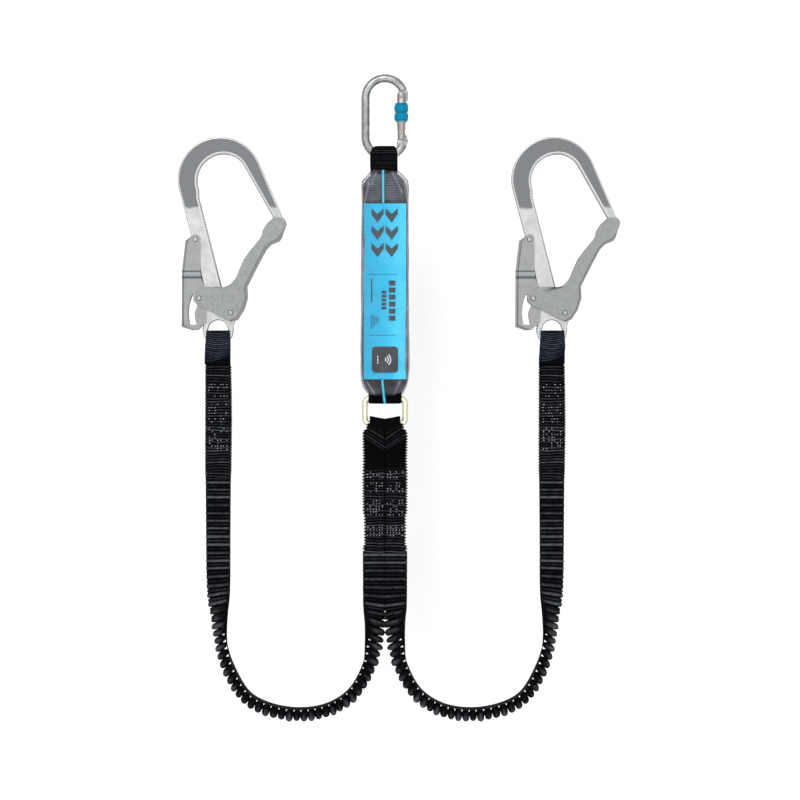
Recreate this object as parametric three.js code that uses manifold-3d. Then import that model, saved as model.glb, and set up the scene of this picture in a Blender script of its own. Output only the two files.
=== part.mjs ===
// Twin-leg shock absorbing lanyard, laid flat on a surface and seen from above.
// Millimetres. +X across the absorber, +Y along it towards the harness connector,
// +Z up. The origin is the middle of the absorber's flat back, which rests on z = 0.
import * as THREE from 'three';
import { mergeVertices } from 'three/addons/utils/BufferGeometryUtils.js';
import Module from 'manifold-3d';

const wasm = await Module();
wasm.setup();

// ---- driving dimensions -------------------------------------------------------

const MID_Z = 11;               // plane that the metalwork and the loops are centred on
const GAP = 0.3;                // clearance between neighbouring pieces
const WEBBING = 2.5;            // thickness of one ply of webbing

// absorber
const COVER_TOP = 141;          // mouth of the clear sleeve at the harness end
const COVER_BOTTOM = -140.5;    // mouth of the clear sleeve at the ring end
const COVER_THICKNESS = 24;     // height of the whole pack
const COVER_WALL = 0.9;
const LABEL_SIZE = [53, 219, 0.4];
const LABEL_Y = -11;
const TAG_SIZE = [32.5, 32.5, 0.5];
const TAG_Y = -96;

// harness carabiner: an oval of round bar
const BAR_RADIUS = 5.25;
const OVAL_RADIUS = 24.35;      // bar centre line of both end bends
const OVAL_TOP = 231.6;         // centre of the upper bend
const OVAL_BOTTOM = 182.6;      // centre of the lower bend
const GATE_X = 20.4;            // axis of the carabiner's tubular gate
const GATE_RADIUS = 5.4;
const GATE_TOP = 236.6;
const GATE_BOTTOM = 178.6;
const LATCH_Y = 230.5;
const HINGE_Y = 184;
const SMALL_PIN = 1.5;          // radius of the carabiner's two pins
const TONGUE = 4.4;             // thickness of the bar's flattened ends
const SLEEVE_TOP = 224.6;
const SLEEVE_LENGTH = 23;
const GATE_BORE = [3.4, 190, 226];   // radius, lower and upper end of the gate's bore
const LATCH_SLOT = [4.4, 224.2];     // the claw's slot: inner side from the axis, floor
const TONGUE_SLOT_TOP = 192;
const NECK_Z = 5;               // half thickness of the solid shoulder below the gate

// ring between the absorber and the legs
const RING_WIRE = 3.65;
const RING_WIDTH = 50;          // between the centre lines of its side bars
const RING_TOP = -144.6;        // centre line of its upper bar
const RING_BOTTOM = -175.5;     // centre line of its lower bar
const RING_CORNER = 6;

// legs
const LEG_LOOP_X = 9.6;         // middle of each leg's loop on the ring
const LEG_LOOP_WIDTH = 18.2;
const FORK_X = 14.2;            // middle of each leg where both run side by side
const FORK_WIDTH = 27.6;
const RING_STITCH = [-187, -336];
const HOOK_STITCH = [-242, -100.2];
const LEG_WIDTH = 30;           // of the sewn length under a hook
const RING_END_THICKNESS = 12;
const HOOK_END_THICKNESS = 10;
const GATHERED = [27, 13];      // width and thickness of the gathered tube
const GATHERED_ROOM = [22, 8];  // the hollow in it
const ELASTIC = [18, 3.6];
const STEM = 5;                 // half thickness of the loops' stems
const BAR_PLAY = 0.35;          // between a loop and the ring's wire

// hooks
const HOOK_X = 208.4;           // eye of each hook, either side of the absorber
const EYE_Y = -59.1;
const EYE_RADIUS = 12.5;
const EYE_RIM = 19.3;
const PLATE = 5;                // half thickness of the forged body
const LEVER_IN = 5.4;           // inner and outer faces of the lever's two cheeks
const LEVER_OUT = 7;
const CHEEK_IN = 7.4;           // inner and outer faces of the gate's two cheeks
const CHEEK_OUT = 9.4;
const RIVET_RADIUS = 2.2;
const RIVET_HEAD = 3.3;
const RIVET_DOME = 1.3;
const SPRING_POCKET = [6.2, 1.9];  // radius, and its floor above the body's mid plane
const SPRING_COIL = [4.2, 0.55];   // radius of the turns, and of the wire
const EDGE_BEVEL = 1.2;         // on the forged body's edges
const GATE_PIVOT = [15.9, 21.5];
const LOCK_PIN = [-23.5, 39.6];
const LEVER_PIVOT = [-28, 113.4];
const GATE_OPEN = 35;           // degrees
const LEVER_PRESS = 4;          // degrees

// ---- materials ----------------------------------------------------------------

const finish = (color, roughness, metalness) =>
  new THREE.MeshStandardMaterial({ color, roughness, metalness });

const forged = () => finish(0xa9abac, 0.45, 1);
const pressed = () => finish(0xc2c3c4, 0.4, 1);
const bright = () => finish(0xd2d3d4, 0.25, 1);
const stainless = () => finish(0xb5aba6, 0.35, 1);
const springSteel = () => finish(0x7d7f82, 0.4, 1);
const anodised = () => finish(0x0f9fd0, 0.4, 0.6);
const plated = () => finish(0xd9cf9a, 0.3, 1);
const blackWeb = () => finish(0x101215, 0.85, 0);
const greyWeb = () => finish(0x55585e, 0.8, 0);
const elastic = () => finish(0x2a2b2e, 0.7, 0);
const clearVinyl = () => finish(0x9a9ca3, 0.2, 0);
const printed = () => finish(0x1fa6d6, 0.5, 0);
const tagBlack = () => finish(0x23262b, 0.4, 0);

// ---- solids -------------------------------------------------------------------

// A closed geometry as a manifold solid.
function solid(geometry) {
  const bare = geometry.clone();
  bare.deleteAttribute('normal');
  bare.deleteAttribute('uv');
  const merged = mergeVertices(bare, 1e-4);
  const mesh = new wasm.Mesh({
    numProp: 3,
    vertProperties: new Float32Array(merged.attributes.position.array),
    triVerts: new Uint32Array(merged.index.array),
  });
  return new wasm.Manifold(mesh);
}

// A manifold solid as a geometry again.
function surface(body) {
  const { vertProperties, triVerts } = body.getMesh();
  const geometry = new THREE.BufferGeometry();
  geometry.setAttribute('position', new THREE.BufferAttribute(vertProperties, 3));
  geometry.setIndex(new THREE.BufferAttribute(triVerts, 1));
  return geometry;
}

function join(first, ...others) {
  return surface(others.reduce((sum, other) => sum.add(solid(other)), solid(first)));
}

function cut(base, ...tools) {
  return surface(tools.reduce((rest, tool) => rest.subtract(solid(tool)), solid(base)));
}

function named(name, geometry, material) {
  const flat = geometry.index ? geometry.toNonIndexed() : geometry;
  flat.computeVertexNormals();
  const mesh = new THREE.Mesh(flat, material);
  mesh.name = name;
  return mesh;
}

// ---- shapes -------------------------------------------------------------------

function polygon(points) {
  return new THREE.Shape(points.map(([x, y]) => new THREE.Vector2(x, y)));
}

function disc(radius, x = 0, y = 0) {
  const shape = new THREE.Shape();
  shape.absarc(x, y, radius, 0, Math.PI * 2);
  return shape;
}

function roundedBox(width, height, radius) {
  const [w, h] = [width / 2, height / 2];
  const shape = new THREE.Shape();
  shape.absarc(w - radius, h - radius, radius, 0, Math.PI / 2);
  shape.absarc(radius - w, h - radius, radius, Math.PI / 2, Math.PI);
  shape.absarc(radius - w, radius - h, radius, Math.PI, Math.PI * 1.5);
  shape.absarc(w - radius, radius - h, radius, Math.PI * 1.5, Math.PI * 2);
  return shape;
}

// The pack's section, one unit in half width and half height, with softly rolled edges.
function packSection() {
  const [rx, ry] = [0.17, 0.5];
  const shape = new THREE.Shape();
  shape.absellipse(1 - rx, 1 - ry, rx, ry, 0, Math.PI / 2);
  shape.absellipse(rx - 1, 1 - ry, rx, ry, Math.PI / 2, Math.PI);
  shape.absellipse(rx - 1, ry - 1, rx, ry, Math.PI, Math.PI * 1.5);
  shape.absellipse(1 - rx, ry - 1, rx, ry, Math.PI * 1.5, Math.PI * 2);
  return shape;
}

// An outline in XY made a slab between two heights.
function slab(shape, low, high, curveSegments = 12) {
  const depth = high - low;
  const geometry = new THREE.ExtrudeGeometry(shape, { depth, curveSegments, bevelEnabled: false });
  return geometry.translate(0, 0, low);
}

// An outline drawn in (Y, Z) made a slab across X.
function slabAcross(shape, low, high, curveSegments = 8) {
  const axes = new THREE.Matrix4().makeBasis(
    new THREE.Vector3(0, 1, 0), new THREE.Vector3(0, 0, 1), new THREE.Vector3(1, 0, 0));
  return slab(shape, low, high, curveSegments).applyMatrix4(axes);
}

function block(low, high) {
  const size = high.map((value, axis) => value - low[axis]);
  const middle = high.map((value, axis) => (value + low[axis]) / 2);
  return new THREE.BoxGeometry(...size).translate(...middle);
}

function rod(radius, low, high, x = 0, y = 0, sides = 20) {
  const bar = new THREE.CylinderGeometry(radius, radius, high - low, sides);
  return bar.rotateX(Math.PI / 2).translate(x, y, (low + high) / 2);
}

// A straight extrusion of a section, laid along a list of stations. Each station has
// a place (at) and the directions that the section's x and y take there.
function sweep(section, stations, curveSegments = 2) {
  const steps = stations.length - 1;
  const options = { depth: steps, steps, curveSegments, bevelEnabled: false };
  const geometry = new THREE.ExtrudeGeometry(section, options);
  const places = geometry.attributes.position;
  for (let i = 0; i < places.count; i += 1) {
    const { at, across, up } = stations[Math.round(places.getZ(i))];
    const point = at.clone()
      .addScaledVector(across, places.getX(i))
      .addScaledVector(up, places.getY(i));
    places.setXYZ(i, point.x, point.y, point.z);
  }
  return geometry;
}

// Stations of a coil around a vertical axis, climbing by pitch each turn.
function coilStations(radius, turns, pitch, stepsPerTurn) {
  const count = Math.round(turns * stepsPerTurn);
  const stations = [];
  for (let i = 0; i <= count; i += 1) {
    const angle = (i / stepsPerTurn) * Math.PI * 2;
    const out = new THREE.Vector3(Math.cos(angle), Math.sin(angle), 0);
    const at = out.clone().multiplyScalar(radius).setZ((pitch * i) / stepsPerTurn);
    stations.push({ at, across: out.negate(), up: new THREE.Vector3(0, 0, 1) });
  }
  return stations;
}

// A rivet along Z with a low dome on each end of its shank.
function rivet(halfGrip) {
  const seat = halfGrip + 0.15;
  const profile = [
    [0, -seat - RIVET_DOME], [2.2, -seat - 1], [RIVET_HEAD, -seat], [RIVET_RADIUS, -seat]];
  const mirrored = profile.map(([r, z]) => [r, -z]).reverse();
  const points = [...profile, ...mirrored].map(([r, z]) => new THREE.Vector2(r, z));
  return new THREE.LatheGeometry(points, 10).rotateX(Math.PI / 2);
}

// ---- absorber -----------------------------------------------------------------

// Width and height of the pack along its length: necks at both ends, a slight belly.
const COVER_PROFILE = [
  [COVER_BOTTOM, 41, 13], [-136, 47, 16], [-130, 55, 20.5], [-121, 60.2, COVER_THICKNESS],
  [-105, 62.4, COVER_THICKNESS], [-60, 60.8, COVER_THICKNESS], [60, 59.8, COVER_THICKNESS],
  [118, 59.4, COVER_THICKNESS], [128, 58, 21], [134, 47, 17], [COVER_TOP, 33.4, 12.5],
];

// The pack's form, made smaller all round by inset and longer at both ends by reach.
function packForm(inset, reach, from = 0, to = COVER_PROFILE.length) {
  const rows = COVER_PROFILE.slice(from, to);
  const stations = rows.map(([y, width, height], i) => {
    const end = i === 0 ? -reach : (i === rows.length - 1 ? reach : 0);
    const middle = height === COVER_THICKNESS ? height / 2 : MID_Z + height / COVER_THICKNESS;
    return {
      at: new THREE.Vector3(0, y + end, middle),
      across: new THREE.Vector3(-(width / 2 - inset), 0, 0),
      up: new THREE.Vector3(0, 0, height / 2 - inset),
    };
  });
  return sweep(packSection(), stations, 2);
}

const clearCover = () => cut(packForm(0, 0), packForm(COVER_WALL, 1));

// The folded tear webbing, with shallow recesses on its front for label and tag.
function tearPack() {
  const room = LABEL_SIZE[2] + TAG_SIZE[2] + 3 * GAP;
  const front = COVER_THICKNESS - COVER_WALL - room;
  const [w, l] = [LABEL_SIZE[0] / 2 + GAP, LABEL_SIZE[1] / 2 + GAP];
  const recess = block([-w, LABEL_Y - l, front], [w, LABEL_Y + l, COVER_THICKNESS]);
  return cut(packForm(COVER_WALL + GAP, 0, 3, 8), recess);
}

const sheetZ = COVER_THICKNESS - COVER_WALL - GAP;

function labelSheet() {
  const [w, l, t] = LABEL_SIZE;
  const high = sheetZ - TAG_SIZE[2] - GAP;
  return slab(roundedBox(w, l, 1.5), high - t, high, 3).translate(0, LABEL_Y, 0);
}

function tagPlate() {
  const [w, l, t] = TAG_SIZE;
  return slab(roundedBox(w, l, 4.5), sheetZ - t, sheetZ, 4).translate(0, TAG_Y, 0);
}

// A loop of webbing seen from the side: a stem that opens into an eye.
// All in (y, z) with the bight towards +y; stem is half the stem's thickness.
function loopSide(stemEnd, throat, bight, cavity, stem, ply = WEBBING) {
  const outer = cavity + ply;
  const shape = new THREE.Shape();
  shape.moveTo(stemEnd, -stem);
  shape.lineTo(throat - 6, -stem);
  shape.quadraticCurveTo(throat, -stem, throat + outer * 0.7, -outer);
  shape.lineTo(bight - outer * 0.6, -outer);
  shape.quadraticCurveTo(bight, -outer, bight, 0);
  shape.quadraticCurveTo(bight, outer, bight - outer * 0.6, outer);
  shape.lineTo(throat + outer * 0.7, outer);
  shape.quadraticCurveTo(throat, stem, throat - 6, stem);
  shape.lineTo(stemEnd, stem);
  return shape;
}

// The space that the bar or the eye's rim turns in.
function loopCavity(throat, bight, cavity) {
  const shape = new THREE.Shape();
  shape.moveTo(throat, 0);
  shape.lineTo(throat + cavity * 0.8, -cavity);
  shape.lineTo(bight, -cavity);
  shape.lineTo(bight, cavity);
  shape.lineTo(throat + cavity * 0.8, cavity);
  return shape;
}

// Loop round the carabiner's lower bend. The bight is narrower than the plies,
// because it passes between the bar's rising sides.
function topLoop() {
  const cavity = 8.5;
  const side = loopSide(119.5, 147, 171.5, cavity, 4.4, 2.4);
  side.holes.push(loopCavity(150, 169, cavity));
  const loop = slabAcross(side, -14.5, 14.5);
  const cheeks = [-1, 1].map((hand) => {
    const edges = [12.5 * hand, 16 * hand].sort((a, b) => a - b);
    return block([edges[0], 165, -cavity], [edges[1], 173, cavity]);
  });
  return cut(loop, ...cheeks).translate(0, 0, MID_Z);
}

// Loop round the ring's upper bar: a round eye on a short stem.
function roundLoop(barY, stemEnd, low, high) {
  const eye = disc(RING_WIRE + BAR_PLAY + WEBBING, barY, 0);
  const stemLow = Math.min(barY, stemEnd);
  const stemHigh = Math.max(barY, stemEnd);
  const stem = block([low, stemLow, -STEM], [high, stemHigh, STEM]);
  const hole = disc(RING_WIRE + BAR_PLAY, barY, 0);
  const loop = join(slabAcross(eye, low, high, 12), stem);
  return cut(loop, slabAcross(hole, low - 1, high + 1, 12)).translate(0, 0, MID_Z);
}

const bottomLoop = () => roundLoop(RING_TOP, -122, -18.5, 18.5);

// ---- carabiner ----------------------------------------------------------------

// The bar's centre line, from the upper right bend round the spine to the hinge.
function carabinerLine() {
  const arc = (y, from, to) => {
    const points = [];
    const steps = Math.ceil(Math.abs(to - from) / 15);
    for (let i = 0; i <= steps; i += 1) {
      const angle = THREE.MathUtils.degToRad(from + ((to - from) * i) / steps);
      points.push(new THREE.Vector3(
        OVAL_RADIUS * Math.cos(angle), y + OVAL_RADIUS * Math.sin(angle), MID_Z));
    }
    return points;
  };
  return [...arc(OVAL_TOP, 22, 180), ...arc(OVAL_BOTTOM, 180, 336)];
}

function alongPoints(points) {
  const up = new THREE.Vector3(0, 0, 1);
  return points.map((at, i) => {
    const before = points[Math.max(i - 1, 0)];
    const after = points[Math.min(i + 1, points.length - 1)];
    const along = after.clone().sub(before).normalize();
    return { at, across: new THREE.Vector3().crossVectors(up, along).negate(), up };
  });
}

function bar(radius, points, sides) {
  const section = new THREE.Shape();
  section.absarc(0, 0, radius, 0, Math.PI * 2);
  const stations = alongPoints(points).map(({ at, across, up }) => (
    { at, across: across.negate(), up }));
  return sweep(section, stations, sides);
}

// Oval bar with a flattened claw over the latch pin and a hinge tongue below the gate.
function carabinerBody() {
  const oval = bar(BAR_RADIUS, carabinerLine(), 7);
  const claw = polygon([
    [16.5, 242.5], [16.5, 238], [17.6, 233.2], [22.6, 232.4], [22.6, 228.5], [19, 228.4],
    [19, 225.4], [26, 225.4], [28.6, 228], [28.9, 238], [26, 244]]);
  const tongue = polygon([
    [15.2, 178.6], [15.2, 180], [17.4, 183], [17.9, 187], [20.4, 188.2], [24.6, 187.2],
    [27.5, 183.5], [28.4, 178]]);
  const half = TONGUE / 2;
  const shoulder = slab(polygon([
    [14.6, 178.2], [14.6, 173.5], [18, 169], [26, 171], [29.4, 178.2]]), -NECK_Z, NECK_Z);
  const body = join(
    oval,
    slab(claw, -half, half).translate(0, 0, MID_Z),
    slab(tongue, -half, half).translate(0, 0, MID_Z),
    shoulder.translate(0, 0, MID_Z));
  const pinHole = rod(SMALL_PIN + GAP, 0, 2 * MID_Z, GATE_X, HINGE_Y, 14);
  return cut(body, pinHole);
}

// Tubular gate, slotted at both ends for the bar's tongues and rounded about its hinge.
function carabinerGate() {
  const tube = new THREE.CylinderGeometry(GATE_RADIUS, GATE_RADIUS, GATE_TOP - GATE_BOTTOM, 24);
  tube.translate(GATE_X, (GATE_TOP + GATE_BOTTOM) / 2, MID_Z);
  const half = TONGUE / 2 + GAP;
  const [low, high] = [MID_Z - half, MID_Z + half];
  const [boreRadius, boreLow, boreHigh] = GATE_BORE;
  const bore = new THREE.CylinderGeometry(boreRadius, boreRadius, boreHigh - boreLow, 18)
    .translate(GATE_X, (boreHigh + boreLow) / 2, MID_Z);
  const [slotSide, slotFloor] = LATCH_SLOT;
  const wide = GATE_RADIUS + 2;
  const pinHole = (y) => rod(SMALL_PIN + 0.2, 0, 2 * MID_Z, GATE_X, y, 14);
  return cut(
    tube, bore,
    block([GATE_X - slotSide, slotFloor, low], [GATE_X + wide, GATE_TOP + 1, high]),
    block([GATE_X - wide, GATE_BOTTOM - 1, low], [GATE_X + wide, TONGUE_SLOT_TOP, high]),
    cut(
      block([GATE_X - wide, GATE_BOTTOM - 1, 0], [GATE_X + wide, HINGE_Y, 2 * MID_Z]),
      rod(GATE_RADIUS, -1, 2 * MID_Z + 1, GATE_X, HINGE_Y, 24)),
    pinHole(LATCH_Y), pinHole(HINGE_Y));
}

function smallPin(y) {
  return rod(SMALL_PIN, MID_Z - GATE_RADIUS - 0.3, MID_Z + GATE_RADIUS + 0.3, GATE_X, y, 14);
}

// Spring inside the gate tube, pushing a follower against the hinge tongue.
function carabinerSpring() {
  const coil = sweep(disc(0.45), coilStations(2.3, 4, 5.2, 9), 3);
  return coil.rotateX(-Math.PI / 2).translate(GATE_X, 197, MID_Z);
}

// Two knurled barrels with a waist between them, on a bore that slides on the gate.
function lockSleeve() {
  const bore = GATE_RADIUS + GAP;
  const barrel = (low) => [[8, low], [8.9, low + 2], [9.05, low + 5], [8.9, low + 8], [8, low + 10]];
  const profile = [
    [bore, 0], [7.6, 0], [7.6, 1], ...barrel(1.2), ...barrel(11.8), [7.6, 22], [7.6, SLEEVE_LENGTH],
    [bore, SLEEVE_LENGTH], [bore, 0]];
  const points = profile.map(([r, y]) => new THREE.Vector2(r, y));
  return new THREE.LatheGeometry(points, 18)
    .translate(GATE_X, SLEEVE_TOP - SLEEVE_LENGTH, MID_Z);
}

// ---- ring ---------------------------------------------------------------------

// Rounded rectangle of wire: a torus whose centre line is moved on to the rectangle.
function ring() {
  const outline = roundedBox(RING_WIDTH, RING_TOP - RING_BOTTOM, RING_CORNER);
  outline.closePath();
  const around = 40;
  const centres = outline.getSpacedPoints(around);
  const torus = new THREE.TorusGeometry(100, RING_WIRE, 10, around);
  const places = torus.attributes.position;
  const middleY = (RING_TOP + RING_BOTTOM) / 2;
  for (let i = 0; i < places.count; i += 1) {
    const [x, y] = [places.getX(i), places.getY(i)];
    const turn = (Math.atan2(y, x) / (Math.PI * 2) + 1) % 1;
    const index = Math.round(turn * around) % around;
    const out = Math.hypot(x, y) - 100;
    const before = centres[(index + around - 1) % around];
    const after = centres[(index + 1) % around];
    const along = after.clone().sub(before).normalize();
    const centre = centres[index];
    places.setXY(i, centre.x + along.y * out, middleY + centre.y - along.x * out);
  }
  return torus.translate(0, 0, MID_Z);
}

// ---- legs ---------------------------------------------------------------------

// Route of the left leg's gathered part, from the sewn end under the ring, round the
// bend and up to the sewn end under the hook. The last value is the strap's turn in
// degrees: 0 lies flat, 90 stands on its edge with its front face outside the bend.
const LEG_ROUTE = [
  [-FORK_X, -336.6, MID_Z, 0],
  [-FORK_X, -365, MID_Z, 0],
  [-FORK_X, -395, 11.5, 10],
  [-15, -421, 12.5, 34],
  [-16.5, -448, 14.5, 66],
  [-21.5, -478, 15.5, 88],
  [-40.5, -511.5, 15.5, 90],
  [-70, -531, 15.5, 90],
  [-109.2, -537.2, 15.5, 90],
  [-149.5, -529.6, 15.5, 90],
  [-174, -514.8, 15.5, 90],
  [-195.5, -478, 15.5, 88],
  [-203, -450.5, 15, 74],
  [-206.6, -411, 13.5, 40],
  [-208, -371, 12, 12],
  [-HOOK_X, -321, MID_Z, 0],
  [-HOOK_X, -282, MID_Z, 0],
  [-HOOK_X, -242.6, MID_Z, 0],
];
const LEG_STEPS = 36;

// Stations of the gathered strap for one side of the object (-1 left, +1 right).
function legStations(side, width, thickness, reach = 0) {
  const points = LEG_ROUTE.map(([x, y, z]) => new THREE.Vector3(-x * side, y, z));
  const curve = new THREE.CatmullRomCurve3(points, false, 'centripetal');
  const turns = new THREE.CatmullRomCurve3(
    LEG_ROUTE.map(([, , , turn], i) => new THREE.Vector3(i, turn, 0)), false, 'centripetal');
  const upright = new THREE.Vector3(0, 0, 1);
  const stations = [];
  for (let i = 0; i <= LEG_STEPS; i += 1) {
    const part = i / LEG_STEPS;
    const at = curve.getPoint(part);
    const along = curve.getTangent(part);
    const sideways = new THREE.Vector3().crossVectors(upright, along).normalize();
    const turn = THREE.MathUtils.degToRad(turns.getPoint(part).y) * side;
    const across = sideways.clone().applyAxisAngle(along, turn).negate();
    const up = new THREE.Vector3().crossVectors(along, across).normalize();
    if (i === 0) at.addScaledVector(along, -reach);
    if (i === LEG_STEPS) at.addScaledVector(along, reach);
    stations.push({
      at,
      across: across.multiplyScalar(width / 2),
      up: up.multiplyScalar(thickness / 2),
    });
  }
  return stations;
}

function strapSection(corner) {
  return polygon([
    [1 - corner, -1], [1, -1 + corner * 1.6], [1, 1 - corner * 1.6], [1 - corner, 1],
    [corner - 1, 1], [-1, 1 - corner * 1.6], [-1, corner * 1.6 - 1], [corner - 1, -1]]);
}

function gatheredLeg(side) {
  const outer = sweep(strapSection(0.25), legStations(side, ...GATHERED));
  const inner = sweep(strapSection(0.25), legStations(side, ...GATHERED_ROOM, 1));
  return cut(outer, inner);
}

const elasticCore = (side) => sweep(strapSection(0.2), legStations(side, ...ELASTIC));

// A straight sewn length of doubled webbing between two places along Y.
function sewnLength(x, [from, to], width, thickness) {
  const low = Math.min(from, to);
  const high = Math.max(from, to);
  const section = roundedBox(width, thickness, thickness * 0.3);
  const axes = new THREE.Matrix4().makeRotationX(Math.PI / 2);
  return slab(section, -high, -low, 3).applyMatrix4(axes).translate(x, 0, MID_Z);
}

function ringLoop(side) {
  const inner = LEG_LOOP_X - LEG_LOOP_WIDTH / 2;
  const outer = LEG_LOOP_X + LEG_LOOP_WIDTH / 2;
  const [low, high] = side < 0 ? [-outer, -inner] : [inner, outer];
  return roundLoop(RING_BOTTOM, RING_STITCH[0] + GAP, low, high);
}

// Loop through a hook's eye, round the lower rim of the eye.
function hookLoop(side) {
  const shape = loopSide(HOOK_STITCH[1] + GAP - EYE_Y, -27, 0, 8, STEM, 2.6);
  shape.holes.push(loopCavity(-24.5, -2.6, 8));
  return slabAcross(shape, -11, 11).translate(HOOK_X * side, EYE_Y, MID_Z);
}

// ---- hooks --------------------------------------------------------------------
// Drawn about the centre of the eye, x across and y towards the bight.

const toHook = (side, geometry) => geometry.translate(HOOK_X * side, EYE_Y, MID_Z);
const degrees = THREE.MathUtils.degToRad;

// Outline of the forged body: bight, spine, pivot boss and eye.
function hookOutline() {
  const shape = new THREE.Shape();
  shape.moveTo(79.6, 143.5);
  shape.absarc(2.5, 188.5, 53.1, degrees(23.7), degrees(194), false);
  shape.lineTo(-33.6, 117.7);
  shape.lineTo(-21.5, 68);
  shape.quadraticCurveTo(-18, 54, -18, 40);
  shape.lineTo(-19, 6);
  shape.absarc(0, 0, EYE_RIM, degrees(165), degrees(372), false);
  shape.lineTo(22, 14);
  shape.absarc(15.9, 21.5, 8.6, degrees(-45), degrees(95), false);
  shape.quadraticCurveTo(8, 33, 5.6, 50);
  shape.lineTo(-23.6, 166);
  shape.absarc(7.2, 186.6, 32.9, degrees(200), degrees(90), true);
  shape.absarc(7.2, 190.7, 28.8, degrees(90), degrees(30), true);
  shape.lineTo(72.4, 133.8);
  shape.lineTo(75.2, 131);
  shape.lineTo(79.3, 129.4);
  shape.lineTo(81.2, 133);
  return shape;
}

function hookBody() {
  const options = {
    depth: 2 * (PLATE - EDGE_BEVEL), curveSegments: 6, bevelThickness: EDGE_BEVEL,
    bevelSize: EDGE_BEVEL, bevelOffset: -EDGE_BEVEL, bevelSegments: 1,
  };
  const plate = new THREE.ExtrudeGeometry(hookOutline(), options)
    .translate(0, 0, EDGE_BEVEL - PLATE);
  const [pocketRadius, pocketFloor] = SPRING_POCKET;
  const pocket = ([x, y]) => rod(pocketRadius, pocketFloor, PLATE + 1, x, y, 14);
  const hole = ([x, y]) => rod(RIVET_RADIUS + 0.25, -PLATE - 1, PLATE + 1, x, y, 10);
  return cut(
    plate, rod(EYE_RADIUS, -PLATE - 1, PLATE + 1, 0, 0, 28),
    hole(GATE_PIVOT), hole(LEVER_PIVOT), pocket(GATE_PIVOT), pocket(LEVER_PIVOT));
}

// Silhouette of the folded gate, tail to nose and back along its outer side.
const GATE_INNER_SIDE = [
  [-26.1, 31.6], [-30.4, 36.6], [-30.5, 42], [-27.3, 46.7], [-21.9, 51.2], [-15.9, 53.7],
  [8.4, 53.7], [13.5, 55.6], [18, 59.6], [22.9, 65.6], [28.7, 80.1], [33.4, 90],
  [40.6, 99.5], [52.8, 114.4], [55.2, 118.8], [55.6, 123.5], [61.1, 132.7], [69.1, 140.2]];
const GATE_OUTER_SIDE = [
  [80.6, 140.4], [84, 137.6], [85.3, 132.9], [82.2, 125], [79.4, 115.4], [76.6, 111.4],
  [66.6, 107.2], [60, 100.4], [50.2, 82.2], [39.8, 61.6], [36.2, 54.4], [36.9, 39.6],
  [32.3, 25.2], [24.5, 13.2], [18, 11]];

// The room inside the folded gate: open on the inner side, and open past the nose.
const GATE_ROOM = [
  [-40, 0], [20.6, 10], [22.8, 15], [30.2, 26.4], [34.6, 39.8], [34, 55], [37.8, 62.6],
  [48.2, 83.2], [58, 101.4], [65.4, 108.9], [75, 112.8], [77.4, 116.4], [79.4, 123.4],
  [92, 126], [92, 150], [-40, 150]];

function hookGate() {
  const silhouette = polygon([...GATE_INNER_SIDE, ...GATE_OUTER_SIDE, [10.4, 12.6], [-7.9, 22.8]]
    .reverse());
  const hole = ([x, y]) => rod(RIVET_RADIUS + 0.3, -12, 12, x, y, 10);
  return cut(
    slab(silhouette, -CHEEK_OUT, CHEEK_OUT),
    slab(polygon(GATE_ROOM), -CHEEK_IN, CHEEK_IN),
    hole(GATE_PIVOT), hole(LOCK_PIN));
}

// Where the lock pin stands in the lever, when the gate has opened by a share of its
// range and the lever has been pressed by the same share of its own.
function pinInLever(share) {
  const pivot = new THREE.Vector2(...GATE_PIVOT);
  const hinge = new THREE.Vector2(...LEVER_PIVOT);
  const pin = new THREE.Vector2(...LOCK_PIN);
  return pin
    .rotateAround(pivot, degrees(GATE_OPEN * share))
    .rotateAround(hinge, -degrees(LEVER_PRESS * share));
}

// The lever's curved slot: an arc about the gate's pivot, wide enough for the pin's way.
function leverSlot() {
  const arc = new THREE.Shape();
  const [x, y] = GATE_PIVOT;
  arc.absarc(x, y, 53.2, degrees(154), degrees(196), false);
  arc.absarc(x, y, 45, degrees(199), degrees(156), true);
  const parts = [slab(arc, -12, 12, 4)];
  for (let i = 0; i <= 9; i += 1) {
    const place = pinInLever(i / 9);
    parts.push(rod(RIVET_RADIUS + 0.8, -12, 12, place.x, place.y, 8));
  }
  return join(...parts);
}

// Silhouette of the folded safety lever along the hook's spine.
function leverOutline() {
  const shape = new THREE.Shape();
  shape.absarc(-28, 113.4, 6, degrees(10), degrees(140), false);
  shape.lineTo(-40.8, 112);
  shape.lineTo(-45.2, 74);
  shape.lineTo(-45.5, 4);
  shape.lineTo(-32.6, 0);
  shape.lineTo(-25, 0.6);
  shape.lineTo(-15.4, 9.6);
  shape.lineTo(-13, 38);
  shape.lineTo(-17, 54.4);
  shape.lineTo(-20.8, 65);
  shape.lineTo(-22, 74);
  return shape;
}

function hookLever() {
  const room = polygon([[-39.4, 120], [-39, 110.6], [-43.6, 74], [-43.9, -6], [0, -6], [0, 120]]);
  return cut(
    slab(leverOutline(), -LEVER_OUT, LEVER_OUT),
    slab(room, -LEVER_IN, LEVER_IN),
    rod(RIVET_RADIUS + 0.3, -12, 12, ...LEVER_PIVOT, 10),
    leverSlot());
}

function hookSpring([x, y]) {
  const [radius, wire] = SPRING_COIL;
  const low = SPRING_POCKET[1] + wire + 0.15;
  return sweep(disc(wire), coilStations(radius, 1.6, 1.3, 12), 3).translate(x, y, low);
}

// ---- assembly -----------------------------------------------------------------

const lanyard = new THREE.Group();
const absorber = new THREE.Group();
absorber.add(
  named('absorber_cover', clearCover(), clearVinyl()),
  named('absorber_tear_webbing', tearPack(), greyWeb()),
  named('absorber_label', labelSheet(), printed()),
  named('absorber_id_tag', tagPlate(), tagBlack()),
  named('absorber_top_loop', topLoop(), blackWeb()),
  named('absorber_bottom_loop', bottomLoop(), blackWeb()));

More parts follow.
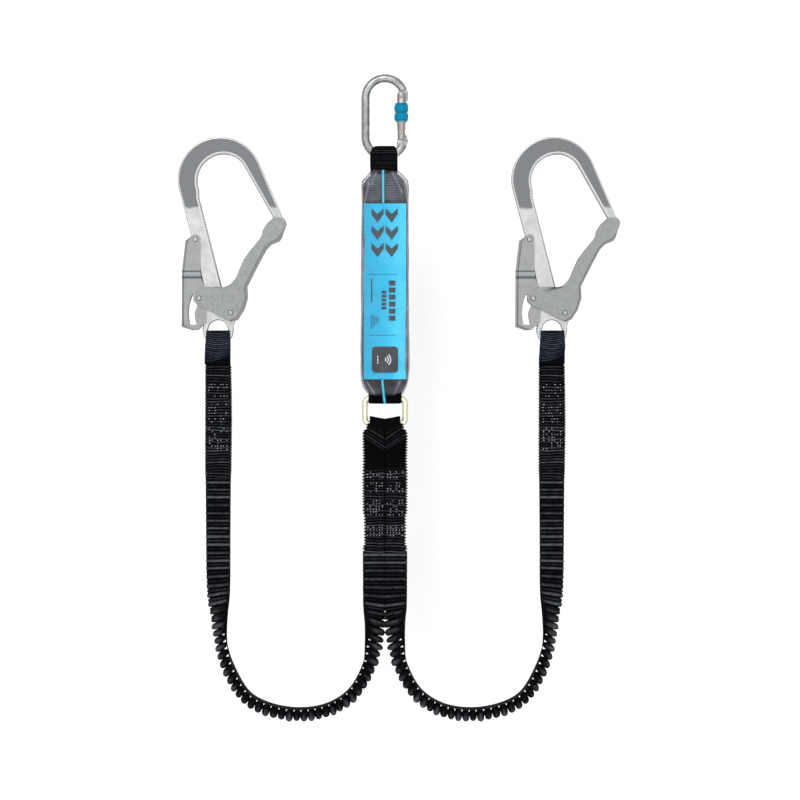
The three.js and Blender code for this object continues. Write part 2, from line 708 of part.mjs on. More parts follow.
const carabiner = new THREE.Group();
carabiner.add(
  named('carabiner_body', carabinerBody(), pressed()),
  named('carabiner_gate', carabinerGate(), stainless()),
  named('carabiner_lock_sleeve', lockSleeve(), anodised()),
  named('carabiner_hinge_pin', smallPin(HINGE_Y), bright()),
  named('carabiner_latch_pin', smallPin(LATCH_Y), bright()),
  named('carabiner_spring', carabinerSpring(), springSteel()));

lanyard.add(absorber, carabiner, named('leg_ring', ring(), plated()));

for (const [hand, side] of [['left', -1], ['right', 1]]) {
  const leg = new THREE.Group();
  leg.add(
    named(`${hand}_leg_ring_loop`, ringLoop(side), blackWeb()),
    named(`${hand}_leg_ring_end`,
      sewnLength(FORK_X * side, RING_STITCH, FORK_WIDTH, RING_END_THICKNESS), blackWeb()),
    named(`${hand}_leg_gathered_webbing`, gatheredLeg(side), blackWeb()),
    named(`${hand}_leg_elastic_core`, elasticCore(side), elastic()),
    named(`${hand}_leg_hook_end`,
      sewnLength(HOOK_X * side, HOOK_STITCH, LEG_WIDTH, HOOK_END_THICKNESS), blackWeb()),
    named(`${hand}_leg_hook_loop`, hookLoop(side), blackWeb()));

  const hook = new THREE.Group();
  const place = ([x, y], geometry) => toHook(side, geometry.translate(x, y, 0));
  hook.add(
    named(`${hand}_hook_body`, toHook(side, hookBody()), forged()),
    named(`${hand}_hook_gate`, toHook(side, hookGate()), pressed()),
    named(`${hand}_hook_lever`, toHook(side, hookLever()), pressed()),
    named(`${hand}_hook_gate_rivet`, place(GATE_PIVOT, rivet(CHEEK_OUT)), bright()),
    named(`${hand}_hook_lock_rivet`, place(LOCK_PIN, rivet(CHEEK_OUT)), bright()),
    named(`${hand}_hook_lever_rivet`, place(LEVER_PIVOT, rivet(LEVER_OUT)), bright()),
    named(`${hand}_hook_gate_spring`, toHook(side, hookSpring(GATE_PIVOT)), springSteel()),
    named(`${hand}_hook_lever_spring`, toHook(side, hookSpring(LEVER_PIVOT)), springSteel()));
  lanyard.add(leg, hook);
}

export default lanyard;
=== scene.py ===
"""Twin-leg shock absorbing lanyard, laid flat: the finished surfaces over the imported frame."""
import math
import random
from functools import partial

import bmesh
import bpy
import numpy as np
from mathutils import Matrix, Vector, noise


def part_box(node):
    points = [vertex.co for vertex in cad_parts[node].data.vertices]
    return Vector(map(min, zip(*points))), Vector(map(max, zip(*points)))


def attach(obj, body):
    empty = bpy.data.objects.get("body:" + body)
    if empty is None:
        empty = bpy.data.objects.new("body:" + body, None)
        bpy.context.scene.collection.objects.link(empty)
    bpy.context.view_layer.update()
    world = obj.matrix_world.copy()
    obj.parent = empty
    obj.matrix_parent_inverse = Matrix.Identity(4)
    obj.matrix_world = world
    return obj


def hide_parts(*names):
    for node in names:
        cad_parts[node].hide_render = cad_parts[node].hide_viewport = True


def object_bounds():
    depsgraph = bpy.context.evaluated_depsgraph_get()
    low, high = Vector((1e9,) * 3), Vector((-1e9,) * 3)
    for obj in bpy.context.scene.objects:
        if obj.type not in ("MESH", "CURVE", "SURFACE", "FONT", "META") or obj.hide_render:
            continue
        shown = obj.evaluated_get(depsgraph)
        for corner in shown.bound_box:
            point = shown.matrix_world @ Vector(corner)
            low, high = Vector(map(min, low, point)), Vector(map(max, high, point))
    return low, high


bl_info = {
    "name": "Shock absorbing lanyard",
    "version": (1, 0, 0),
    "blender": (4, 5, 0),
    "location": "View3D > Sidebar > Lanyard",
    "description": "Builds the finished pieces of a twin-leg shock absorbing lanyard",
    "category": "Object",
}

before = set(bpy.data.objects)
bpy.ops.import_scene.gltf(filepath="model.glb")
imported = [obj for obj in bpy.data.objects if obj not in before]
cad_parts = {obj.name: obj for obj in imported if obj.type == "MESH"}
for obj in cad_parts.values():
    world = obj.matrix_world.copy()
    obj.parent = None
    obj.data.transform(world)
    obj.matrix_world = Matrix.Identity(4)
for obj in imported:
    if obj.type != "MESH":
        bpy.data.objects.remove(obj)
CAD_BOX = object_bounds()

MM = 0.001
# The height of the lanyard's middle plane, in metres and in mm.
MID_Z = sum(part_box("leg_ring")[i].z for i in (0, 1)) / 2
MID = MID_Z / MM
# Radius of the ring's wire and of the connector's bar, in mm.
RING_WIRE = 3.65
BAR = 5.25
BEVEL = {"affect": "EDGES", "profile": 0.5, "material": -1}
VERT, EDGE = bmesh.types.BMVert, bmesh.types.BMEdge
HANDS = (("left", -1), ("right", 1))


def centre_of(name):
    """Centre and half sizes of a CAD node, in mm."""
    low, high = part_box(name)
    return (low + high) / 2 / MM, (high - low) / 2 / MM


def only(geom, kind):
    return [g for g in geom if isinstance(g, kind)]


# ---- materials ------------------------------------------------------------------


def linear(colour):
    """An sRGB hex colour as the linear RGBA that Blender's shaders read."""
    values = [int(colour[i : i + 2], 16) / 255 for i in (1, 3, 5)]
    return (*(v / 12.92 if v <= 0.04045 else ((v + 0.055) / 1.055) ** 2.4 for v in values), 1)


def node(tree, kind, inputs=(), output=0, stops=(), **settings):
    """Adds a shader node with its settings, values and links, and gives one output. Inputs
    are given in order or by name; stops are a colour ramp's (place, hex colour)."""
    made = tree.nodes.new("ShaderNode" + kind)
    for name, value in settings.items():
        setattr(made, name, value)
    for i, (place, colour) in enumerate(stops):
        element = made.color_ramp.elements[i] if i < 2 else made.color_ramp.elements.new(1)
        element.position, element.color = place, linear(colour)
    used = [s for s in made.inputs if s.enabled]
    named = {s.name: s for s in used}
    for key, value in inputs.items() if isinstance(inputs, dict) else enumerate(inputs):
        socket = named[key] if isinstance(key, str) else used[key]
        if isinstance(value, bpy.types.NodeSocket):
            tree.links.new(value, socket)
        else:
            socket.default_value = value
    found = [s for s in made.outputs if s.enabled and output in (0, s.name)]
    return found[0] if found else None


# Each pattern below is given add, which adds a node to the material at hand.


def grain(add, size_mm, detail=3.0, place=None, roughness=0.55):
    """Uneven patches about size_mm across, on the piece's own coordinates."""
    if place is None:
        place = add("TexCoord", output="Object")
    settings = {"Scale": 1000 / size_mm, "Detail": detail, "Roughness": roughness}
    return add("TexNoise", {"Vector": place, **settings}, "Fac")


def axis_of(add, axis):
    return add("SeparateXYZ", (add("TexCoord", output="Object"),), axis)


def facing_up(add, low=0.25, high=0.75):
    """1 where the surface lies flat, 0 where it stands on edge."""
    height = add("SeparateXYZ", (add("TexCoord", output="Normal"),), "Z")
    return add("MapRange", (add("Math", (height,), operation="ABSOLUTE"), low, high))


def painted_rib_light(add):
    """Painted light: how much light a rib or crease is painted as catching, as each piece's mesh
    gives it.
    """
    return add("Attribute", output="Fac", attribute_name="crest")


def surfaced(name, paint, **sockets):
    """A material with one Principled shader. paint(add) gives its linked sockets, and its
    relief as a height, a depth in mm and a strength."""
    made = bpy.data.materials.new(name)
    made.use_nodes = True
    made.node_tree.nodes.clear()
    add = partial(node, made.node_tree)
    inputs = {key.replace("_", " "): value for key, value in sockets.items()}
    inputs.update(paint(add))
    if "Relief" in inputs:
        height, depth_mm, strength = inputs.pop("Relief")
        bump = {"Height": height, "Distance": depth_mm * MM, "Strength": strength}
        inputs["Normal"] = add("Bump", bump)
    add("OutputMaterial", {"Surface": add("BsdfPrincipled", inputs)})
    return made


def blasted_steel():
    """Forged alloy steel, shot blasted and zinc plated: an even dull grey with fine grit
    on the hook's arm, and lighter on the shank."""

    def paint(add):
        grit, cloud = grain(add, 0.9, 4), grain(add, 14)
        face = add("ValToRGB", (grit,), stops=[(0.3, "#6d6f71"), (0.7, "#858789")])
        border = add("MapRange", (cloud, 0, 1, -6e-3, 6e-3))
        height = add("Math", (axis_of(add, "Y"), border), operation="ADD")
        arm = add("MapRange", (height, 0.0915, 0.0955))
        shank_tone = add("ValToRGB", (cloud,), stops=[(0.3, "#adaeaf"), (0.7, "#c6c7c7")])
        return {
            "Base Color": add("Mix", (arm, shank_tone, face), data_type="RGBA"),
            "Roughness": add("MapRange", (arm, 0, 1, 0.36, 0.6)),
            "Relief": (grit, 0.12, 0.5),
        }

    return surfaced("blasted_steel", paint, Metallic=0.9)


def ground_steel():
    """The same steel where its edges were ground: bright, with marks across the edge, and painted
    shade where a face stands on edge.
    """

    def paint(add):
        place = {"Vector": add("TexCoord", output="Object"), "Scale": 160, "Distortion": 2.5}
        marks = add("TexWave", place, "Fac", bands_direction="Y")
        bright = add("ValToRGB", (marks,), stops=[(0, "#a9aaab"), (1, "#e6e7e7")])
        # Painted shade: the colour goes dark where the face turns towards standing on edge.
        inputs = (facing_up(add, 0.3, 0.6), linear("#55575a"), bright)
        return {
            "Base Color": add("Mix", inputs, data_type="RGBA"),
            "Roughness": add("MapRange", (marks, 0, 1, 0.26, 0.4)),
            "Relief": (marks, 0.08, 0.4),
        }

    return surfaced("ground_steel", paint, Metallic=0.9)


def sheet_steel(name, low, high, speck, share, depth_mm, creases=()):
    """Sheet steel, pressed and zinc plated: light grey, mottled by the plating, with a painted shade
    line, a painted highlight on the roll and a painted dark edge at its folds. A crease is its Y and
    width, dented and darkened with painted shade."""
    # Painted light at the folds, by how flat the face lies: a painted shade line where it starts to
    # turn, a painted highlight on the roll, a painted dark edge where it stands on edge.
    folds = [
        (0, "#5c5c5c"), (0.2, "#6a6a6a"), (0.32, "#ffffff"), (0.9, "#ffffff"),
        (0.955, "#6e6e6e"), (0.99, "#efefef"),
    ]

    def paint(add):
        blend = partial(add, "Mix", data_type="RGBA")
        mottle, cloud = grain(add, 1.4, 5, roughness=0.7), grain(add, 9)
        tone = blend((cloud, linear(low), linear(high)))
        spots = add("MapRange", (mottle, 0.42, 0.6, 0, share))
        colour, height = blend((spots, tone, linear(speck))), mottle
        if creases:
            near = []
            for at, wide in creases:
                off = add("Math", (axis_of(add, "Y"), at), operation="SUBTRACT")
                off = add("Math", (off,), operation="ABSOLUTE")
                near.append(add("Math", (off, wide), operation="DIVIDE"))
            nearest = add("Math", near, operation="MINIMUM")
            # Painted shade along each crease, which is also dented in the relief.
            crease_dent_and_shade = add("MapRange", (nearest, 0.1, 1, 1, 0))
            colour = blend((crease_dent_and_shade, colour, linear("#505356")))
            height = add("Math", (mottle, crease_dent_and_shade), operation="SUBTRACT")
        shade = add("ValToRGB", (facing_up(add, 0, 1),), stops=folds)
        return {
            "Base Color": blend((1.0, colour, shade), blend_type="MULTIPLY"),
            "Metallic": add("MapRange", (facing_up(add, 0.55, 0.97), 0, 1, 0.25, 0.88)),
            "Roughness": add("MapRange", (mottle, 0.3, 0.7, 0.36, 0.5)),
            "Relief": (height, depth_mm, 0.5),
        }

    return surfaced(name, paint)


def round_steel(name, skin, tint, edge, dark, stops, rough, depth_mm, strength=0.5,
                metallic=1.0, drawn=1.0):
    """Round metal stock: painted shade where it turns down, its tone and its shine uneven. Skin
    and tint are the grain's size and detail, and drawn stretches it along Y."""

    def paint(add):
        place = {"Vector": add("TexCoord", output="Object"), "Scale": (1, drawn, 1)}
        place = add("Mapping", place)
        fine = grain(add, *skin, place)
        tone = add("ValToRGB", (grain(add, *tint, place),), stops=stops)
        # Painted shade: the dark colour takes over as the surface turns down from lying flat.
        inputs = (facing_up(add, *edge), linear(dark), tone)
        return {
            "Base Color": add("Mix", inputs, data_type="RGBA"),
            "Roughness": add("MapRange", (fine, 0.3, 0.7, *rough)),
            "Relief": (fine, depth_mm, strength),
        }

    return surfaced(name, paint, Metallic=metallic)


def spring_wire():
    """Hard drawn spring wire: dark grey with a dull drawn skin."""

    def paint(add):
        fine = grain(add, 0.6, 3)
        return {
            "Base Color": add("ValToRGB", (fine,), stops=[(0.3, "#5e6063"), (0.7, "#86888a")]),
            "Roughness": add("MapRange", (fine, 0.3, 0.7, 0.35, 0.5)),
        }

    return surfaced("spring_wire", paint, Metallic=1.0)


def blue_anodised():
    """Turned aluminium, dyed blue: painted shade in the knurl's cuts and painted highlights on its
    crests and rims, patchy by a fine grain.
    """

    def paint(add):
        fine = grain(add, 0.7, 3)
        uneven_shine = add("MapRange", (fine, 0.3, 0.8, 0.6, 1))
        crest_highlight = add("Math", (painted_rib_light(add), uneven_shine), operation="MULTIPLY")
        dye_shaded_to_lit = [(0, "#013f58"), (0.4, "#0084ac"), (1, "#12bce4")]
        return {
            "Base Color": add("ValToRGB", (crest_highlight,), stops=dye_shaded_to_lit),
            "Roughness": add("MapRange", (fine, 0.3, 0.7, 0.3, 0.45)),
        }

    return surfaced("blue_anodised", paint, Metallic=0.2, Specular_IOR_Level=0.12)


def webbing(name, deep, face, crest_highlight):
    """Polyester webbing, woven: matt and dark, with a painted highlight along its ribs' crests."""

    def paint(add):
        # Thread spacing is 0.5 mm; the weave is drawn at about 1.1 mm so that it shows.
        chart = {"Vector": add("UVMap", uv_map="UVMap"), "Scale": 145, "Distortion": 1.2}
        weave = add("TexWave", {**chart, "Detail": 1}, "Fac", bands_direction="DIAGONAL")
        fuzz, lit = grain(add, 0.9, 3), painted_rib_light(add)
        uneven = add("MapRange", (grain(add, 8), 0.25, 0.75, 0.62, 1.15))
        for factor in (uneven, add("MapRange", (fuzz, 0.3, 0.7, 0.75, 1.15))):
            lit = add("Math", (lit, factor), operation="MULTIPLY")
        # Painted highlight: the rib light runs from the webbing's black up to the highlight colour
        # on the crests.
        colour = add("ValToRGB", (lit,), stops=[(0, deep), (0.3, face), (0.95, crest_highlight)])
        inputs = (add("MapRange", (weave, 0, 1, 0, 0.35)), colour, linear(deep))
        return {
            "Base Color": add("Mix", inputs, data_type="RGBA"),
            "Relief": (add("Math", (weave, fuzz), operation="ADD"), 0.14, 0.7),
        }

    return surfaced(name, paint, Roughness=0.85, Specular_IOR_Level=0.05)


def grey_webbing():
    """Tear webbing, woven polyester, folded up: grey, with a rib at each weft, each with a painted
    highlight on its crest and painted shade between.
    """

    def paint(add):
        uneven = add("MapRange", (grain(add, 12), 0.3, 0.7, 0.7, 1.1))
        lit = add("Math", (painted_rib_light(add), uneven), operation="MULTIPLY")
        tones = [(0, "#17191d"), (0.5, "#3a3e44"), (1, "#6b6e75")]
        return {
            "Base Color": add("ValToRGB", (lit,), stops=tones),
            "Relief": (grain(add, 1.0, 3), 0.12, 0.6),
        }

    return surfaced("grey_webbing", paint, Roughness=0.75, Specular_IOR_Level=0.3)


def clear_vinyl():
    """Heat-shrunk vinyl film: nearly clear, made milky down its sides as a painted reflection and
    along its folds as a painted highlight.
    """

    def paint(add):
        fine, cloud = grain(add, 2.2, 3), grain(add, 16)
        cover = add("MapRange", (facing_up(add, 0.3, 0.98), 0, 1, 0.62, 0.02))
        for more in (
            add("MapRange", (painted_rib_light(add), 0, 1, 0, 0.5)),
            add("MapRange", (cloud, 0.45, 0.75, 0, 0.03)),
        ):
            cover = add("Math", (cover, more), operation="ADD")
        return {
            "Base Color": add("ValToRGB", (cloud,), stops=[(0.3, "#74757f"), (0.7, "#aaa9b2")]),
            "Alpha": cover,
            "Relief": (add("Math", (fine, cloud), operation="ADD"), 0.3, 0.5),
        }

    return surfaced("clear_vinyl", paint, Roughness=0.2, IOR=1.53, Specular_IOR_Level=0.08)


def printed_film():
    """Printed label film: cyan ink, paler to one side, slightly uneven."""
    low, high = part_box("absorber_label")

    def paint(add):
        cloud, fine = grain(add, 22), grain(add, 1.2, 3)
        across = add("MapRange", (axis_of(add, "X"), low.x, high.x))
        uneven = add("MapRange", (cloud, 0.3, 0.7, -0.22, 0.22))
        tone = add("Math", (across, uneven), operation="ADD")
        inks = [(0.05, "#00a2cd"), (0.5, "#08b2dc"), (0.95, "#3cc6ec")]
        return {
            "Base Color": add("ValToRGB", (tone,), stops=inks),
            "Roughness": add("MapRange", (fine, 0.3, 0.7, 0.38, 0.5)),
            "Relief": (add("Math", (fine, cloud), operation="ADD"), 0.1, 0.4),
        }

    return surfaced("printed_film", paint, IOR=1.5)


def inked(name, low, high, roughness=0.55):
    """Flat ink or moulded film in one dark or pale tone, with a faint mottle."""

    def paint(add):
        fine = grain(add, 1.0, 3)
        return {
            "Base Color": add("ValToRGB", (fine,), stops=[(0.3, low), (0.7, high)]),
            "Relief": (fine, 0.05, 0.3),
        }

    return surfaced(name, paint, Roughness=roughness)


def twisted_thread(name, low, high):
    """Bonded nylon sewing thread: a twist across it, with a painted highlight on the crowns."""

    def paint(add):
        place = {"Vector": add("TexCoord", output="Object"), "Scale": 420, "Distortion": 1}
        twist = add("TexWave", place, "Fac", bands_direction="DIAGONAL")
        return {
            "Base Color": add("ValToRGB", (twist,), stops=[(0, low), (1, high)]),
            "Relief": (twist, 0.15, 0.6),
        }

    return surfaced(name, paint, Roughness=0.5)


def floor_board():
    """Opal light board: matt near-white, lit a little from inside, so shadows stay faint."""

    def paint(add):
        roller = grain(add, 6, 3)
        return {
            "Base Color": add("ValToRGB", (roller,), stops=[(0.3, "#f4f4f4"), (0.7, "#f8f8f8")]),
            "Emission Color": linear("#ffffff"),
            "Relief": (roller, 0.02, 0.2),
        }

    return surfaced("floor_board", paint, Roughness=0.9, Emission_Strength=0.16)


MAKERS = {
    "blasted_steel": blasted_steel,
    "ground_steel": ground_steel,
    "spring_wire": spring_wire,
    "blue_anodised": blue_anodised,
    "grey_webbing": grey_webbing,
    "clear_vinyl": clear_vinyl,
    "printed_film": printed_film,
    "floor_board": floor_board,
    # The gate's sheet, and the lever's with the two creases that stiffen it, drawn as dents with
    # painted shade.
    "pressed_steel": (sheet_steel, "#939596", "#adafaf", "#7b7e81", 0.55, 0.1),
    "creased_steel": (
        sheet_steel, "#97999a", "#b3b4b4", "#7f8285", 0.5, 0.2,
        ((0.0066, 0.0026), (0.0143, 0.0015)),
    ),
    # Round stock: after the grain sizes come the range over which the painted shade fades out as the
    # face lies flatter, then the painted shade's colour.
    # Bar, tumbled and zinc plated: satin, with soft pits.
    "satin_steel": (
        round_steel, (0.8, 4), (7, 3), (0.2, 0.7), "#434446",
        [(0.35, "#8b8c8e"), (0.65, "#b0b1b1")], (0.24, 0.36), 0.06,
    ),
    # Pins and rivets, peened: bright, with small hammer facets.
    "bright_steel": (
        round_steel, (1.1, 2), (1.1, 2), (0.3, 0.9), "#3c3d3f",
        [(0.35, "#8f9091"), (0.65, "#c9caca")], (0.16, 0.3), 0.12,
    ),
    # Drawn stainless tube: a warm grey with fine lines along its length.
    "stainless_tube": (
        round_steel, (0.7, 3), (0.7, 3), (0.15, 0.65), "#5a5451",
        [(0.3, "#978f8c"), (0.7, "#b5adaa")], (0.3, 0.42), 0.04, 0.4, 1.0, 0.06,
    ),
    # Wire with pale yellow passivated zinc: ivory, with faint clouds of colour.
    "yellow_zinc": (
        round_steel, (0.9, 3), (11, 2), (0.3, 0.62), "#4f4a38",
        [(0.3, "#e6dcb0"), (0.5, "#f0ebcd"), (0.72, "#e0dbbd")], (0.24, 0.38), 0.04, 0.4, 0.75,
    ),
    # Webbing: its deep and face colours, then the colour of the painted highlight on its crests.
    "black_webbing": (webbing, "#010102", "#0d0e11", "#54575c"),
    "navy_webbing": (webbing, "#020305", "#12161d", "#4f5864"),
    "label_ink": (inked, "#25323d", "#3a4753"),
    "fine_ink": (inked, "#17617f", "#1f7293"),
    "tag_film": (inked, "#1f262d", "#2b333b", 0.4),
    "pale_ink": (inked, "#d9dcdf", "#f2f4f5"),
    "cyan_thread": (twisted_thread, "#08b3de", "#5fe0fb"),
    "pale_thread": (twisted_thread, "#9a9fa5", "#e8ebee"),
}
FINISHES = {}


def finish(name):
    """The material of that name, made once."""
    if name not in FINISHES:
        maker = MAKERS[name]
        FINISHES[name] = maker() if callable(maker) else maker[0](name, *maker[1:])
    return FINISHES[name]


# ---- making pieces --------------------------------------------------------------


def piece(bm, name, looks, body=None, replaces=(), sharp=60, even=False):
    """Turns a bmesh into a finished piece that rides on its body."""
    mesh = bpy.data.meshes.new(name)
    bm.to_mesh(mesh)
    bm.free()
    for look in [looks] if isinstance(looks, str) else looks:
        mesh.materials.append(finish(look))
    mesh.shade_smooth()
    mesh.set_sharp_from_angle(angle=math.radians(sharp))
    made = bpy.data.objects.new(name, mesh)
    bpy.context.scene.collection.objects.link(made)
    if even:
        made.modifiers.new("even_normals", "WEIGHTED_NORMAL").keep_sharp = True
    if body:
        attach(made, body)
    if replaces:
        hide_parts(*([replaces] if isinstance(replaces, str) else replaces))
    return made


def rewired(name):
    """Gives a CAD spring the finish of drawn wire."""
    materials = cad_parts[name].data.materials
    materials.clear()
    materials.append(finish("spring_wire"))


def outward(bm):
    bmesh.ops.remove_doubles(bm, verts=bm.verts, dist=2e-6)
    bmesh.ops.recalc_face_normals(bm, faces=bm.faces)
    return bm


def copied(name, bevel, folds=0.0, sheet=5.0):
    """A CAD node's own solid, merged, with its edges broken and its sheet folds rounded."""
    bm = bmesh.new()
    bm.from_mesh(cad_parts[name].data)
    bmesh.ops.remove_doubles(bm, verts=bm.verts, dist=2e-6)
    flat = math.radians(1)
    bmesh.ops.dissolve_limit(bm, angle_limit=flat, verts=bm.verts, edges=bm.edges)

    def corners():
        return [e for e in bm.edges if e.is_manifold and e.calc_face_angle(0) > 0.6]

    def folded(edge):
        heights = [
            max(v.co.z for v in f.verts) - min(v.co.z for v in f.verts)
            for f in edge.link_faces
        ]
        return max(heights) > sheet * MM and min(heights) < 1e-6

    if folds:
        bent = [e for e in corners() if folded(e)]
        settings = {"offset": folds * MM, "segments": 5, "clamp_overlap": False}
        bmesh.ops.bevel(bm, geom=bent, **settings, **BEVEL)
    settings = {"offset": bevel * MM, "segments": 2, "clamp_overlap": True}
    bmesh.ops.bevel(bm, geom=corners(), **settings, **BEVEL)
    return bm


def trace(bm, moves):
    """Draws one closed outline in XY, in mm: a move is a point, or an arc given as its
    centre, radius and first and last angle in degrees."""
    first = last = None
    for move in moves:
        place = move
        if len(move) == 5:
            x, y, r, start, _ = move
            a = math.radians(start)
            place = (x + r * math.cos(a), y + r * math.sin(a))
        spot = Vector((place[0] * MM, place[1] * MM, 0))
        if last is None:
            first = last = bm.verts.new(spot)
        else:
            last = bmesh.ops.extrude_vert_indiv(bm, verts=[last])["verts"][0]
            last.co = spot
        if len(move) == 5:
            x, y, _, start, stop = move
            swept = bmesh.ops.spin(
                bm, geom=[last], cent=(x * MM, y * MM, 0), axis=(0, 0, 1),
                angle=math.radians(stop - start),
                steps=max(3, round(abs(stop - start) / 5)),
            )
            last = only(swept["geom_last"], VERT)[0]
    bm.edges.new((last, first))


def plate(bm, low, high, edge=0.0, segments=3):
    """Fills the traced outlines, holes left open, and raises them from low to high mm."""
    bmesh.ops.triangle_fill(bm, use_beauty=True, edges=bm.edges[:])
    raised = bmesh.ops.extrude_face_region(bm, geom=bm.faces[:])["geom"]
    lift = (0, 0, (high - low) * MM)
    bmesh.ops.translate(bm, verts=only(raised, VERT), vec=lift)
    bmesh.ops.translate(bm, verts=bm.verts, vec=(0, 0, low * MM))
    bmesh.ops.recalc_face_normals(bm, faces=bm.faces)
    if edge:
        rims = [
            e
            for e in bm.edges
            if e.is_manifold
            and e.calc_face_angle(0) > 0.8
            and abs(e.verts[0].co.z - e.verts[1].co.z) < 1e-7
        ]
        settings = {"offset": edge * MM, "segments": segments, "clamp_overlap": True}
        bmesh.ops.bevel(bm, geom=rims, **settings, **BEVEL)
    return bm


def merge(bm, other):
    """Adds another bmesh's shells to this one."""
    carrier = bpy.data.meshes.new("carrier")
    other.to_mesh(carrier)
    other.free()
    bm.from_mesh(carrier)
    bpy.data.meshes.remove(carrier)
    return bm


def turned(profile, place, along_y=False, steps=32):
    """Spins a profile of (radius, height) in mm about an upright axis, or one along Y."""
    bm = bmesh.new()
    last = None
    for r, h in profile:
        spot = Vector((r, 0, h)) * MM
        if last is None:
            last = bm.verts.new(spot)
        else:
            last = bmesh.ops.extrude_vert_indiv(bm, verts=[last])["verts"][0]
            last.co = spot
    bmesh.ops.spin(
        bm, geom=bm.verts[:] + bm.edges[:], cent=(0, 0, 0), axis=(0, 0, 1),
        angle=math.tau, steps=steps, use_merge=True,
    )
    outward(bm)
    if along_y:
        turn = Matrix.Rotation(math.radians(-90), 3, "X")
        bmesh.ops.rotate(bm, cent=(0, 0, 0), matrix=turn, verts=bm.verts)
    bmesh.ops.translate(bm, verts=bm.verts, vec=place)
    return bm


def rolled(rows, around=28, square=0.45, slide_sign=0):
    """Rolls a flat grid into a closed tube of webbing. Rows hold one value per ring: at,
    its place; across and front, its directions; half its width, its top and bottom, its
    crest's painted highlight; and vectors where it is to slide askew, wave or lean. All in mm."""
    count = len(rows["at"])
    bm = bmesh.new()
    chart = bm.loops.layers.uv.new("UVMap")
    bmesh.ops.create_grid(
        bm, x_segments=around, y_segments=count - 1, size=0.5, calc_uvs=True
    )
    crest = bm.verts.layers.float.new("crest")
    angle = np.arange(around + 1) * math.tau / around
    side = np.sign(np.cos(angle)) * np.abs(np.cos(angle)) ** square
    rise = np.sign(np.sin(angle)) * np.abs(np.sin(angle)) ** square
    side[np.abs(side) < 1e-6], rise[np.abs(rise) < 1e-6] = 0, 0
    top, bottom = rows["top"][:, None], rows["bottom"][:, None]
    height = (top + bottom) / 2 + (top - bottom) / 2 * rise[None, :]
    spots = (
        rows["at"][:, None, :]
        + rows["across"][:, None, :] * (rows["half"][:, None] * side[None, :])[..., None]
        + rows["front"][:, None, :] * height[..., None]
    )
    if "slide" in rows:
        share = (1 + slide_sign * side) / 2
        spots = spots + rows["slide"][:, None, :] * share[None, :, None]
    if "wave" in rows:
        ripple = np.sin(2.8 * side[None, :] + 0.06 * np.arange(count)[:, None])
        spots = spots + rows["wave"][:, None, :] * ripple[..., None]
    if "lean" in rows:
        above = np.clip(height + 5, 0, None)
        spots = spots + rows["lean"][:, None, :] * above[..., None]
    # Painted light: the crest's highlight is full on the tube's front and fades to a tenth on its
    # back.
    lit = rows["crest"][:, None] * np.clip(0.55 + 0.45 * rise[None, :], 0, 1)
    for v in bm.verts:
        i, j = round((v.co.y + 0.5) * (count - 1)), round((v.co.x + 0.5) * around)
        v.co = spots[i, j] * MM
        v[crest] = lit[i, j]
    girth = 4 * float(rows["half"].mean()) * MM
    length = float(np.linalg.norm(np.diff(rows["at"], axis=0), axis=1).sum()) * MM
    for face in bm.faces:
        for loop in face.loops:
            loop[chart].uv *= Vector((girth, length))
    bmesh.ops.remove_doubles(bm, verts=bm.verts, dist=2e-7)
    bmesh.ops.holes_fill(bm, edges=[e for e in bm.edges if e.is_boundary], sides=0)
    bmesh.ops.recalc_face_normals(bm, faces=bm.faces)
    return bm


def ribs(length, pitch, steps, seed, uneven=0.1):
    """Rows over a run of ribs: place along it, phase in the rib, and the rib's size."""
    chance = random.Random(seed)
    count = max(1, round(length / pitch))
    widths = np.array([1 + chance.uniform(-uneven, uneven) for _ in range(count)])
    starts = np.concatenate([[0], np.cumsum(widths)]) * length / widths.sum()
    sizes = [1 + chance.uniform(-uneven, uneven) for _ in range(count)]
    place, phase, size = [], [], []
    for i in range(count):
        for q in range(steps):
            place.append(starts[i] + (starts[i + 1] - starts[i]) * q / steps)
            phase.append(q / steps)
            size.append(sizes[i])
    return (
        np.array(place + [length]),
        np.array(phase + [0.0]),
        np.array(size + [size[-1]]),
    )


def crown(phase, power=0.6):
    return np.clip(np.sin(np.pi * phase), 0, 1) ** power


def repeated(vector, count):
    return np.tile(np.array(vector, float), (count, 1))


def level_rows(x, y):
    """Places and directions of a flat length that runs along Y."""
    count = len(y)
    return {
        "at": np.stack([x + np.zeros(count), y, np.full(count, MID)], axis=1),
        "across": repeated((1, 0, 0), count),
        "front": repeated((0, 0, 1), count),
    }


def flat_strap(x, span, facts, pitch=3.6, depth=0.9, seed=1, around=24, slide_sign=0):
    """A straight ribbed length of webbing along Y, notched at its edges between ribs. Its
    facts are Y, half width, middle X, top, bottom, rib depth and slide."""
    start, stop = span
    place, phase, size = ribs(abs(stop - start), pitch, 6, seed, 0.06)
    y = start + np.sign(stop - start) * place
    table = np.array(sorted(facts))
    wide, mid, top, bottom, deep, slide = (
        np.interp(y, table[:, 0], table[:, k]) for k in range(1, 7)
    )
    count, bump = len(y), crown(phase) * size
    notch = 1.5 * (1 - np.sin(np.pi * phase))
    rows = {
        **level_rows(x + mid + slide_sign * notch, y),
        "half": wide - notch * size,
        "top": top - depth * deep * (1 - bump),
        "bottom": bottom + 0.5 * depth * (1 - bump),
        # Painted highlight on the rib crests, fainter where the ribs are shallow.
        "crest": (0.04 + 0.78 * bump**8) * (0.06 + 0.94 * np.clip(deep, 0, 1)),
        "slide": repeated((0, -1, 0), count) * slide[:, None],
        "wave": repeated((0, 0.45, 0), count),
    }
    return rolled(rows, around, 0.42, slide_sign)


